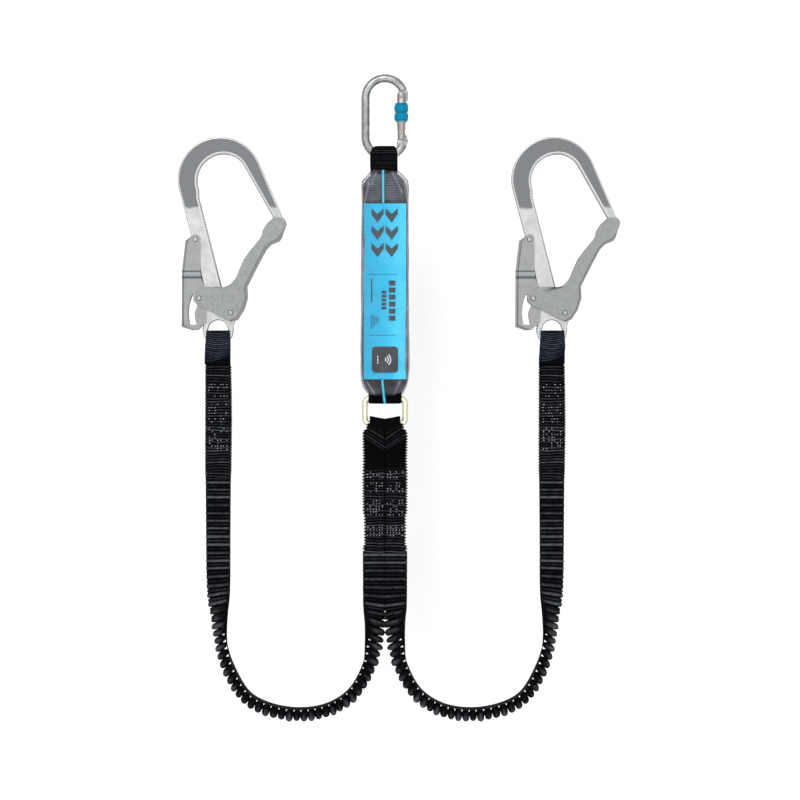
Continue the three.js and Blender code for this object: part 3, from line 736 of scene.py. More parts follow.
def ply(x, path, widths, thickness, pitch=2.4, depth=0.35, seed=3, shine=0.4):
    """One ply of webbing along a path of (Y, Z). Its widths are a share of the path, a low
    X and a high X."""
    line = np.array(path, float)
    steps = distances(line)
    place, phase, size = ribs(steps[-1], pitch, 5, seed, 0.05)
    y, z = (np.interp(place, steps, line[:, k]) for k in (0, 1))
    along = np.gradient(np.stack([y, z], axis=1), axis=0)
    for _ in range(4):
        along[1:-1] = (along[:-2] + 2 * along[1:-1] + along[2:]) / 4
    along /= np.linalg.norm(along, axis=1)[:, None]
    table = np.array(widths, float)
    low, high = (np.interp(place / steps[-1], table[:, 0], table[:, k]) for k in (1, 2))
    count, bump = len(y), crown(phase) * size
    rows = {
        "at": np.stack([x + (low + high) / 2, y, z], axis=1),
        "across": repeated((1, 0, 0), count),
        "front": np.stack([np.zeros(count), -along[:, 1], along[:, 0]], axis=1),
        "half": (high - low) / 2 - 0.3 + 0.3 * bump,
        "top": thickness / 2 - depth * (1 - bump),
        "bottom": np.full(count, -thickness / 2),
        # Painted highlight on each rib's crown, as strong as shine gives.
        "crest": shine * (0.06 + 0.94 * bump**6),
    }
    return rolled(rows, 24, 0.5)


def around_bar(bar_y, stem_y, stem_z, radius):
    """The (Y, Z) path of a ply that leaves a stem, goes round a bar and comes back."""
    way = math.copysign(1, bar_y - stem_y)
    turn = [
        (bar_y + way * radius * math.sin(a), MID + radius * math.cos(a))
        for a in np.linspace(-0.5, math.pi + 0.5, 30)
    ]
    return [(stem_y, MID + stem_z), *turn, (stem_y, MID - stem_z)]


def open_bight(y, reach, half):
    """The (Y, Z) bend of a ply that passes round a bar with room to spare."""
    return [
        (y + reach * math.cos(a), MID + half * math.sin(a))
        for a in np.linspace(math.pi / 2, -math.pi / 2, 24)
    ]


# ---- settings -------------------------------------------------------------------


def metres(name, description, default):
    return bpy.props.FloatProperty(
        name=name, description=description, default=default, min=0, unit="LENGTH"
    )


def watts(name, description, default):
    return bpy.props.FloatProperty(
        name=name, description=description, default=default, min=0, unit="POWER"
    )


class LanyardStudio(bpy.types.PropertyGroup):
    floor: metres("Floor", "Side of the floor", 14)
    drop: metres("Floor drop", "Depth of the floor under the lanyard's clear table", 0.16)
    distance: metres("Camera height", "Height of the camera over the lanyard", 3)
    width: metres("Frame width", "What the frame takes in", 1)
    overhead: watts("Overhead light", "Power of the wide soft light", 440)
    key: watts("Key light", "Power of the smaller light", 14)
    sky: bpy.props.FloatProperty(
        name="Sky", description="Brightness of the light all round", default=0.22, min=0
    )


class LanyardWebbing(bpy.types.PropertyGroup):
    cord_width: metres("Strap width", "Width of a gathered leg", 0.03)
    fold: metres("Fold spacing", "Distance between the gathers", 0.0097)
    rib: metres("Rib spacing", "Distance between the ribs of the sewn lengths", 0.0036)
    seed: bpy.props.IntProperty(
        name="Unevenness", description="Picks another set of uneven gathers", default=11
    )


class LanyardPack(bpy.types.PropertyGroup):
    wrinkle: metres("Wrinkles", "Depth of the film's wrinkles", 0.0007)
    film: metres("Film", "Thickness of the clear film", 0.0003)


class LanyardMetal(bpy.types.PropertyGroup):
    edge: metres("Forged edge", "Width of the ground edge", 0.0021)
    fold: metres("Sheet fold", "Radius of the pressed folds", 0.0038)
    chamfer: metres("Ground chamfer", "Width of the edge round the hook's opening", 0.0034)
    knurl: metres("Knurl", "Depth of the sleeve's knurl", 0.0008)


# ---- stage ----------------------------------------------------------------------


class LANYARD_OT_stage(bpy.types.Operator):
    """Adds the camera, the floor and the soft lights"""

    bl_idname = "lanyard.stage"
    bl_label = "Studio"

    def execute(self, context):
        studio = context.scene.lanyard_studio
        scene = context.scene
        middle = (CAD_BOX[0] + CAD_BOX[1]) / 2
        lens = bpy.data.cameras.new("camera")
        lens.sensor_width = 36
        lens.lens = 36 * studio.distance / studio.width
        camera = bpy.data.objects.new("camera", lens)
        camera.location = (middle.x + 0.0014, middle.y - 0.005, studio.distance + MID_Z)
        scene.collection.objects.link(camera)
        scene.camera = camera

        board, place = bmesh.new(), Matrix.Translation((0, 0, -studio.drop))
        bmesh.ops.create_grid(
            board, x_segments=8, y_segments=8, size=studio.floor / 2, matrix=place
        )
        piece(board, "floor", "floor_board", sharp=32)

        for name, place, size, power in (
            ("overhead_light", (0, -0.15, 3.2), 11, studio.overhead),
            ("key_light", (-0.6, 1.6, 2.2), 0.9, studio.key),
        ):
            lamp = bpy.data.lights.new(name, "AREA")
            lamp.size, lamp.energy = size, power
            light = bpy.data.objects.new(name, lamp)
            light.location = place
            aim = Vector((0, -0.15, 0)) - light.location
            light.rotation_euler = aim.to_track_quat("-Z", "Y").to_euler()
            scene.collection.objects.link(light)

        world = bpy.data.worlds.new("studio")
        world.use_nodes = True
        world.node_tree.nodes.clear()
        add = partial(node, world.node_tree)
        glow = add("Background", {"Color": linear("#ffffff"), "Strength": studio.sky})
        add("OutputWorld", {"Surface": glow})
        scene.world = world
        scene.view_settings.view_transform = "Standard"
        return {"FINISHED"}


# ---- legs -----------------------------------------------------------------------

# Route of the left leg's gathered part, in mm: X, Y, Z and how far the strap has turned
# on to its edge, in degrees. The right leg is its mirror image.
LEG_ROUTE = (
    (-14.2, -336.6, 11, 0), (-14.2, -365, 11, 0), (-14.2, -395, 11.5, 24),
    (-15, -421, 12.5, 60), (-16.5, -448, 14.5, 82), (-21.5, -478, 15.5, 90),
    (-40.5, -511.5, 15.5, 90), (-70, -531, 15.5, 90), (-109.2, -537.2, 15.5, 90),
    (-149.5, -529.6, 15.5, 90), (-174, -514.8, 15.5, 90), (-195.5, -478, 15.5, 90),
    (-203, -450.5, 15, 84), (-206.6, -411, 13.5, 62), (-208, -371, 12, 14),
    (-208.4, -321, 11, 0), (-208.4, -282, 11, 0), (-208.4, -242.6, 11, 0),
)


def leg_line():
    """The left leg's route as a fine line: rows of X, Y, Z and turn."""
    p = np.array(LEG_ROUTE, float)
    p = np.vstack([2 * p[0] - p[1], p, 2 * p[-1] - p[-2]])
    t = np.linspace(0, 1, 24, endpoint=False)[:, None]
    parts = []
    for i in range(1, len(p) - 2):
        a, b, c = (
            np.linalg.norm(p[k + 1, :3] - p[k, :3]) ** 0.5 for k in (i - 1, i, i + 1)
        )
        start = (p[i] - p[i - 1]) / a - (p[i + 1] - p[i - 1]) / (a + b) + (p[i + 1] - p[i]) / b
        end = (p[i + 1] - p[i]) / b - (p[i + 2] - p[i]) / (b + c) + (p[i + 2] - p[i + 1]) / c
        parts.append(
            (2 * t**3 - 3 * t**2 + 1) * p[i]
            + (t**3 - 2 * t**2 + t) * start * b
            + (3 * t**2 - 2 * t**3) * p[i + 1]
            + (t**3 - t**2) * end * b
        )
    return np.vstack([*parts, p[-2]])


def distances(line):
    """How far along a line each of its points lies."""
    return np.concatenate([[0], np.cumsum(np.linalg.norm(np.diff(line, axis=0), axis=1))])


def leg_frame(side, place):
    """Centre, along, across, front and turn at each place along one leg."""
    line = leg_line()
    line[:, 0] *= -side
    run = distances(line[:, :3])
    at = np.stack([np.interp(place, run, line[:, k]) for k in range(3)], axis=1)
    turn = np.radians(np.interp(place, run, line[:, 3]))
    grade = np.gradient(line[:, :3], run, axis=0)
    along = np.stack([np.interp(place, run, grade[:, k]) for k in range(3)], axis=1)
    along /= np.linalg.norm(along, axis=1)[:, None]
    outside = np.cross((0, 0, 1), along) * -side
    outside /= np.linalg.norm(outside, axis=1)[:, None]
    front = np.cos(turn)[:, None] * np.array((0, 0, 1)) + np.sin(turn)[:, None] * outside
    across = np.cross(along, front)
    across /= np.linalg.norm(across, axis=1)[:, None]
    return at, along, across, np.cross(across, along), turn


class LANYARD_OT_legs(bpy.types.Operator):
    """Gathers both legs of webbing over their elastic band"""

    bl_idname = "lanyard.legs"
    bl_label = "Gathered legs"

    @staticmethod
    def gather(place):
        """Where the legs part: how far they lean together, and how much deeper they are."""
        inward = np.interp(place, (0, 50, 85, 115, 150), (0.5, 1.0, 2.1, 0.8, 0))
        deeper = np.interp(place, (40, 75, 110, 145, 190), (1, 1.18, 1.38, 1.12, 1))
        return inward, deeper

    def execute(self, context):
        web = context.scene.lanyard_webbing
        length = float(distances(leg_line()[:, :3])[-1])
        for hand, side in HANDS:
            place, phase, size = ribs(length, web.fold / MM, 14, web.seed, 0.1)
            at, along, across, front, turn = leg_frame(side, place)
            inward, thick = self.gather(place)
            at[:, 0] -= side * inward
            edge = np.sin(turn) ** 2
            flat = np.where(
                phase < 0.6,
                crown(phase / 0.6, 0.55),
                0.82 * crown((phase - 0.62) / 0.38, 0.6) * (phase > 0.62),
            )
            fold = crown(phase, 0.36)
            shape = (flat * (1 - edge) + fold * edge) * size
            ends = np.clip(np.minimum(place, length - place) / 6, 0, 1)
            down = -along * along[:, 1:2]
            gape = np.clip(1 - 1.7 * np.sin(np.pi * phase), 0, 1)
            rows = {
                "at": at,
                "across": across,
                "front": front,
                "half": np.interp(place, (0, 90, 420, length), (14.3, 14.8, 14.6, 16))
                + (0.4 + 0.4 * edge) * (shape - 1) * 1.4,
                "top": ((2.7 - 1.3 * edge) + (3.8 + 4.2 * edge) * shape) * thick,
                "bottom": (-5.3 + 5.4 * edge * gape) * thick,
                # Painted highlight on each gather's crown.
                "crest": 0.03 + 0.4 * shape + 0.5 * shape**7,
                "slide": down * (np.sin(2 * turn) * 4.4 * ends)[:, None],
                "lean": down * (0.32 * edge * ends)[:, None],
            }
            tube = rolled(rows, 28, 0.42, side)
            gathered = piece(
                tube, f"{hand}_leg_gathers", "black_webbing", f"{hand}_leg",
                (f"{hand}_leg_gathered_webbing", f"{hand}_leg_elastic_core"),
            )
            spots = np.linspace(0, length, 200)
            route, _, across, front, _ = leg_frame(side, spots)
            inward, thick = self.gather(spots)
            at = route.copy()
            at[:, 0] -= side * inward
            rows = {
                "at": at,
                "across": across,
                "front": front,
                "half": np.full(len(spots), 13.2),
                "top": -5.2 * thick,
                "bottom": -5.2 * thick - 1.1,
                # The band carries an even painted highlight.
                "crest": np.full(len(spots), 0.8),
            }
            band = piece(
                rolled(rows, 20, 0.4), f"{hand}_leg_elastic_band", "black_webbing",
                f"{hand}_leg", (), 32,
            )
        return {"FINISHED"}


# How far a sewn strap runs past its end, over the gathers, in mm.
LAP = 1.5


class LANYARD_OT_sewn(bpy.types.Operator):
    """Adds the sewn ends of both legs, their loops and the bar tacks"""

    bl_idname = "lanyard.sewn"
    bl_label = "Sewn ends"

    def execute(self, context):
        web = context.scene.lanyard_webbing
        for hand, side in HANDS:
            self.ring_end(hand, side, web)
            self.hook_end(hand, web)
            self.bar_tacks(hand, side)
        return {"FINISHED"}

    def ring_end(self, hand, side, web):
        bar_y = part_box("leg_ring")[0].y / MM + RING_WIRE
        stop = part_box(f"{hand}_leg_ring_end")[0].y / MM - LAP
        # Y, outer edge X, top, bottom, rib depth, slide towards the middle line
        edges = (
            (stop, 27.6, 6.2, -6, 0.8, 0), (-330, 28.4, 6.4, -6, 1, 0),
            (-326, 26.6, 6, -6, 0.9, 0), (-292, 26.8, 6, -6, 1, 0),
            (-286, 28.4, 6.2, -6, 1, 0), (-240, 28.8, 6.3, -6, 1, 0),
            (-234, 28.6, 6.3, -6, 0.8, 0), (-224, 28.2, 6.4, -6, 0.1, 0),
            (-217, 28.2, 6.4, -6, 0.25, 0), (-212, 28.4, 6.4, -6, 0.03, 1),
            (-192.5, 28.8, 6.6, -6, 0.05, 17), (-191, 28.9, 6.6, -6.2, 0.6, 18),
            (-185, 28.4, 6.7, -6.2, 0.62, 18), (-183, 25.6, 6.7, -6.3, 0.62, 17),
            (-178, 23.4, 6.6, -6.4, 0.6, 14), (-172, 21.4, 5.2, -5.2, 0.4, 9),
        )
        facts = [
            (y, (x + 0.1) / 2, side * (x - 0.1) / 2, top, bottom, deep, slide)
            for y, x, top, bottom, deep, slide in edges
        ]
        strap = flat_strap(
            0, (-174.5, stop), facts, web.rib / MM, 1.0, web.seed, 32, -side
        )
        name, body = f"{hand}_leg_ring", f"{hand}_leg"
        piece(strap, f"{name}_strap", "black_webbing", body, f"{name}_end")
        span = sorted((side * -0.3, side * 19.2))
        loop = ply(0, around_bar(bar_y, -187, 4.6, 5.3), [(0, *span), (1, *span)], 2.2, shine=0.2)
        for v in loop.verts:
            above = max(0.0, v.co.y / MM - bar_y) / 6.4
            v.co.y += 3.4 * MM * above * (abs(v.co.x / MM) / 19) ** 1.5
        piece(loop, f"{name}_bight", "black_webbing", body, f"{name}_loop")

    def hook_end(self, hand, web):
        name, body = f"{hand}_leg_hook", f"{hand}_leg"
        centre, half = centre_of(f"{name}_end")
        x, start, stop = centre.x, centre.y + half.y + 8, centre.y - half.y - LAP
        facts = [
            (stop, 16.4, 0, 5.6, -5, 0.9, 0), (-236, 16.9, 0, 5.6, -5, 1, 0),
            (-206, 17.2, 0.2, 5.5, -5, 1, 0.6), (-170, 17.3, 0.4, 5.4, -5, 1, 0),
            (-140, 17.1, 0.3, 5.4, -5, 1, 0.6), (-112, 16.8, 0, 5.5, -5, 1, 0),
            (-102, 16.6, 0, 5.5, -5, 0.5, 0), (-100.5, 14.6, -1.2, 5.5, -5, 0.3, 0),
            (start, 14.8, -1, 5.6, -5.2, 0.3, 0),
        ]
        strap = flat_strap(x, (start, stop), facts, web.rib / MM, 0.9, web.seed + 3, 26)
        piece(strap, f"{name}_strap", "black_webbing", body, f"{name}_end")
        path = [
            (-101.5, MID + 7), (-97, MID + 7.8), (-93, MID + 9.2), (-87, MID + 10.4),
            *open_bight(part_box(f"{name}_loop")[1].y / MM - 6, 4.7, 10.4),
            (-87, MID - 10.4), (-93, MID - 9), (-99, MID - 7.4), (-105, MID - 6.6),
        ]
        widths = [
            (0, -16.8, 15.8), (0.08, -16.4, 16.2), (0.2, -15.8, 16.4), (0.3, -15, 16),
            (0.4, -14, 14.8), (0.46, -12.2, 12.2), (0.54, -12.2, 12.2),
            (0.6, -13.8, 12.6), (0.85, -15.2, 12.8), (1, -15.6, 12.6),
        ]
        loop = ply(x, path, widths, 2.4, 2.6, 0.5, web.seed + 5, 0.9)
        dish = [v for v in loop.verts if v.co.z > MID_Z + 0.0075]
        for v in dish:
            off = (v.co.x / MM - x) / 16
            low_end = min(1.0, max(0.0, (-86 - v.co.y / MM) / 12))
            v.co.y += (3 * off * off + 4.8 * (1 + off) * low_end) * MM
        piece(
            loop, f"{name}_bight", "navy_webbing", body, f"{name}_loop"
        )

    def bar_tacks(self, hand, side):
        """The pale thread of the bar tacks, where it shows between the ribs."""
        chance = random.Random(21 + side)
        x = centre_of(f"{hand}_leg_hook_end")[0].x
        ring_end = [side * (3.2 + 3.7 * k) for k in range(6)]
        hook_end = [x + 3.6 * k for k in range(-3, 4)]
        spots = []
        # A band's first and last Y, its share of stitches that show, then its stitches.
        for y, last, share, columns, pitch, stray, z in (
            (-236, -244, 0.6, ring_end, 3.5, 0.5, 17.55),
            (-250, -263, 0.55, ring_end, 3.5, 0.5, 17.55),
            (-272, -292, 0.5, ring_end, 3.5, 0.5, 17.55),
            (-305, -316, 0.8, ring_end, 3.5, 0.5, 17.55),
            (-127, -142, 0.5, hook_end, 3.6, 0.6, 16.65),
            (-152, -175, 0.42, hook_end, 3.6, 0.6, 16.65),
            (-182, -208, 0.42, hook_end, 3.6, 0.6, 16.65),
        ):
            while y > last:
                for column in columns:
                    if chance.random() < share:
                        spots.append(Vector((column + chance.uniform(-stray, stray), y, z)))
                y -= pitch
        bm = bmesh.new()
        for spot in spots:
            wide, long = chance.uniform(0.42, 0.7), chance.uniform(0.45, 0.95)
            turn = Matrix.Rotation(chance.uniform(-0.6, 0.6), 4, "Z")
            size = Matrix.Diagonal((wide, long, 0.5, 1000)) * MM
            place = Matrix.Translation(spot * MM) @ turn @ size
            bmesh.ops.create_icosphere(bm, subdivisions=1, radius=1, matrix=place)
        name, body = f"{hand}_leg_bar_tacks", f"{hand}_leg"
        piece(bm, name, "pale_thread", body)


# ---- absorber -------------------------------------------------------------------

# The pack along its length, in mm: Y, width and height.
PACK = np.array((
    (-140.5, 41, 13), (-136, 47, 16), (-130, 55, 20.5), (-121, 60.2, 24), (-105, 62.4, 24),
    (-60, 60.8, 24), (60, 59.8, 24), (118, 59.4, 24), (128, 58, 21), (134, 47, 17),
    (141, 33.4, 12.5),
))


# Sharp folds in the film, in mm, from X, Y to X, Y, and half the width of one.
FILM_FOLDS = (
    (10, 137, 21.5, 112), (-11, 137, -17, 121), (-20, 124, -25, 100), (24, 128, 27, 106),
    (-14, -137, -22, -124), (12, -138, 19, -122), (-26, 60, -27.5, -20), (27, -30, 26, -110),
)
FOLD_WIDTH = 1.6


def pack_at(y):
    """Half width, top and bottom of the pack at some Y, in mm from its middle height."""
    wide, tall = (np.interp(y, PACK[:, 0], PACK[:, k]) for k in (1, 2))
    rise = np.where(tall > 23.9, 1.0, tall / 24)
    return wide / 2, tall / 2 + rise, rise - tall / 2


class LANYARD_OT_absorber(bpy.types.Operator):
    """Packs the tear webbing with its label under the clear film"""

    bl_idname = "lanyard.absorber"
    bl_label = "Energy absorber"

    def execute(self, context):
        self.tear_webbing()
        self.film(context.scene.lanyard_pack)
        self.label()
        self.tag()
        self.loops()
        self.seams()
        return {"FINISHED"}

    def tear_webbing(self):
        place, phase, size = ribs(275, 2.1, 5, 5, 0.06)
        y = -139 + place
        wide, top, bottom = pack_at(y)
        ends = (-139, -132, -124, -110, 112, 124, 130, 136)
        narrow = np.interp(y, ends, (19.5, 24, 27.6, 29, 28.6, 26.4, 22.5, 16))
        bump = crown(phase) * size
        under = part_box("absorber_label")[0].z / MM - MID - 0.5
        # Strength of the painted highlight on the ribs: fainter under the label, full at the top
        # end.
        crest_highlight = np.interp(y, (-139, -118, 95, 105), (0.45, 0.3, 0.4, 1))
        rows = {
            **level_rows(0, y),
            "half": np.minimum(wide - 2.2, narrow),
            "top": np.where((y > -121.5) & (y < 99.5), under, top - 2) - 0.5 * (1 - bump),
            "bottom": bottom + 1.5 + 0.4 * (1 - bump),
            "crest": crest_highlight * (0.15 + 0.85 * bump),
        }
        tube, replaced = rolled(rows, 40, 0.36), "absorber_tear_webbing"
        piece(tube, "absorber_tear_pack", "grey_webbing", "absorber", replaced)

    def film(self, pack):
        y = np.linspace(-140.5, 141, 190)
        wide, top, bottom = pack_at(y)
        rows = {
            **level_rows(0, y),
            "half": wide,
            "top": top - 0.3,
            "bottom": bottom + 0.2,
            "crest": np.zeros(len(y)),
        }
        bm = rolled(rows, 96, 0.38)
        caps = [f for f in bm.faces if len(f.verts) > 4]
        bmesh.ops.delete(bm, geom=caps, context="FACES_ONLY")
        deep = pack.wrinkle
        crest = bm.verts.layers.float["crest"]
        for v in bm.verts:
            spot = v.co / MM
            neck = max(0.0, (abs(spot.y) - 100) / 40)
            swell = noise.noise(Vector((spot.x / 9, spot.y / 26, spot.z / 9)))
            crease = noise.noise(Vector((spot.x / 3.2, spot.y / 16, spot.z / 5)))
            amount = swell * (1 + 1.4 * neck) + 0.6 * neck * abs(crease)
            v.co -= v.normal * deep * (0.5 + amount) * (1 if spot.z > 3 else 0.2)
            # Each fold is raised into a ridge and given a painted highlight through its crest value.
            for x0, y0, x1, y1 in FILM_FOLDS:
                share = min(1.0, max(0.0, (spot.y - y0) / (y1 - y0)))
                past = max(0, abs(spot.y - (y0 + y1) / 2) - abs(y1 - y0) / 2)
                off = (abs(spot.x - x0 - (x1 - x0) * share) + past) / FOLD_WIDTH
                if spot.z > 12 and off < 1:
                    v[crest] = 1 - off
                    v.co.z += deep * (1 - off)
        bmesh.ops.recalc_face_normals(bm, faces=bm.faces)
        bmesh.ops.solidify(bm, geom=bm.faces[:], thickness=pack.film)
        bmesh.ops.recalc_face_normals(bm, faces=bm.faces)
        piece(bm, "absorber_film", "clear_vinyl", "absorber", "absorber_cover", 70)

    def label(self):
        centre, half = centre_of("absorber_label")
        top = centre.z + half.z
        sheet = bmesh.new()
        place = Matrix.Translation((0, centre.y * MM, top * MM))
        size = Matrix.Diagonal((half.x * MM, half.y * MM, 1, 1))
        bmesh.ops.create_grid(
            sheet, x_segments=24, y_segments=90, size=1, matrix=place @ size
        )
        for v in sheet.verts:
            spot = Vector((v.co.x / MM / 12, v.co.y / MM / 30, 4))
            v.co.z += 0.25 * MM * noise.noise(spot)
        bmesh.ops.recalc_face_normals(sheet, faces=sheet.faces)
        bmesh.ops.solidify(sheet, geom=sheet.faces[:], thickness=0.35 * MM)
        outward(sheet)
        name = "absorber_printed_label"
        piece(sheet, name, "printed_film", "absorber", "absorber_label", 32)

        ink, fine = bmesh.new(), bmesh.new()
        for x in (-9.2, 8.4):
            for y in (83, 61.5, 40):
                self.chevron(ink, x, y)
        # Rows of plain blocks: X, X, first and last Y, and how many.
        for x0, x1, y0, y1, count in ((5, 13, 2.5, -50, 6), (-4.2, 1.6, -10, -35, 5)):
            step = (y1 - y0) / count
            for i in range(count):
                self.bar(ink, x0, x1, y0 + step * i, y0 + step * (i + 0.72))
        self.bar(ink, -17.4, -15.8, 4.5, -24.4)
        for y in (10.6, -65.2):
            self.bar(fine, -20.5, 13.8, y, y - 0.7)
        for i in range(5):
            x = -17.6 + 2.3 * i
            self.bar(fine, x, x + 1.2, -40 - 0.8 * i, -58 + 2.2 * i)
        for print_, name, look, high in (
            (ink, "absorber_label_print", "label_ink", 0.42),
            (fine, "absorber_label_rules", "fine_ink", 0.36),
        ):
            plate(print_, top + 0.2, top + high)
            piece(print_, name, look, "absorber", (), 32)

    def tag(self):
        centre, half = centre_of("absorber_id_tag")
        x, y, top, r = centre.x, centre.y, centre.z + half.z, 4.5
        inner = half.x - r
        tag, pale = bmesh.new(), bmesh.new()
        trace(tag, [
            (x + inner, y + inner, r, 0, 90), (x - inner, y + inner, r, 90, 180),
            (x - inner, y - inner, r, 180, 270), (x + inner, y - inner, r, 270, 360),
        ])
        plate(tag, centre.z - half.z + 0.1, top, 0.15, 2)
        piece(tag, "absorber_tag_plate", "tag_film", "absorber", "absorber_id_tag", 32)
        for r in (2.6, 5.6, 8.6):
            trace(pale, [(x - 1.5, y, r + 0.6, -46, 46), (x - 1.5, y, r - 0.6, 46, -46)])
        for i in range(3):
            self.bar(pale, x - 9.6, x - 8.4, y + 4.6 - 3.6 * i, y + 2.2 - 3.6 * i)
        plate(pale, top + 0.02, top + 0.16)
        piece(pale, "absorber_tag_print", "pale_ink", "absorber", (), 32)

    def bar(self, bm, x0, x1, y0, y1):
        trace(bm, [(x0, y0), (x1, y0), (x1, y1), (x0, y1)])

    def chevron(self, bm, x, y):
        trace(bm, [
            (x - 7.6, y + 9.4), (x, y + 2.4), (x + 7.6, y + 9.4),
            (x + 7.6, y + 2.2), (x, y - 8.4), (x - 7.6, y + 1.2),
        ])

    def loops(self):
        top_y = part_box("absorber_top_loop")[1].y / MM - 6.4
        stem = ((124, 4.6), (137, 4.8), (143, 6.2), (150, 9.2), (156, 9.7))
        path = [
            *((y, MID + z) for y, z in stem),
            *open_bight(top_y, 5.2, 9.7),
            *((y, MID - z) for y, z in reversed(stem)),
        ]
        widths = [
            (0, -17.6, 15), (0.2, -18.6, 15.8), (0.3, -18.8, 15.9), (0.36, -18.4, 15.4),
            (0.42, -16.2, 13.8), (0.46, -12.5, 12.3), (0.54, -12.5, 12.3), (0.6, -16, 14),
            (0.8, -18, 16), (1, -17, 15),
        ]
        top = ply(0, path, widths, 2.2, 2.1, 0.4, 9, 0.5)
        path = around_bar(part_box("leg_ring")[1].y / MM - RING_WIRE, -126, 4.4, 5.3)
        widths = [(0, -20.7, 20.7), (1, -20.7, 20.7)]
        bottom = ply(0, path, widths, 2.2, 2.4, 0.35, 4, 0.7)
        for loop, end in ((top, "top"), (bottom, "bottom")):
            name, replaced = f"absorber_{end}_bight", f"absorber_{end}_loop"
            piece(loop, name, "black_webbing", "absorber", replaced)

    def seams(self):
        """The zigzag seams that close both ends of the pack."""
        for name, (x0, y0), (x1, y1) in (
            ("absorber_top_seam", (-2.4, 140.2), (-2, 99)),
            ("absorber_bottom_seam", (-3.4, -121.2), (-0.4, -150.2)),
        ):
            count = int(abs(y1 - y0) / 0.22)
            t = np.linspace(0, 1, count)
            y = y0 + (y1 - y0) * t
            swing = np.abs(((y / 2.3) % 1) * 2 - 1) * 2 - 1
            x = x0 + (x1 - x0) * t + 1.1 * swing
            _, top, _ = pack_at(y)
            z = MID + top + 0.15
            if y0 < 0:
                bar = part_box("leg_ring")[1].y / MM - RING_WIRE
                over = np.sqrt(np.clip(7**2 - (y - bar) ** 2, 0, None)) + MID
                z = np.where(y < -139.8, over, z)
            else:
                z = np.where(y > 139.5, z + 0.4, z)
            at = np.stack([x, y, z], axis=1)
            along = np.gradient(at, axis=0)
            along /= np.linalg.norm(along, axis=1)[:, None]
            across = np.cross(along, (0, 0, 1))
            across /= np.linalg.norm(across, axis=1)[:, None]
            front = np.cross(across, along)
            bead = 0.72 + 0.18 * np.abs(np.sin(y * 2.7))
            rows = {
                "at": at, "across": across, "front": front,
                "half": bead, "top": bead, "bottom": -bead, "crest": np.ones(count),
            }
            tube = rolled(rows, 8, 1.0)
            piece(tube, name, "cyan_thread", "absorber")


# ---- metalwork ------------------------------------------------------------------


def wire_start(x, y):
    """Where a bar's round section stands, square to the bar's run along Y."""
    return Matrix.Translation((x, y, 0)) @ Matrix.Rotation(math.pi / 2, 4, "X")


def drawn(bm, edges, vec):
    """Draws an open ring of edges out straight, and gives the ring at the far end."""
    grown = bmesh.ops.extrude_edge_only(bm, edges=edges)["geom"]
    bmesh.ops.translate(bm, vec=vec, verts=only(grown, VERT))
    return only(grown, EDGE)


def bent(bm, edges, centre, degrees, steps):
    """Bends an open ring of edges round a centre, and gives the ring at the far end."""
    verts = list({v for e in edges for v in e.verts})
    swept = bmesh.ops.spin(
        bm, geom=edges + verts, cent=centre, axis=(0, 0, 1),
        angle=math.radians(degrees), steps=steps,
    )
    return only(swept["geom_last"], EDGE)


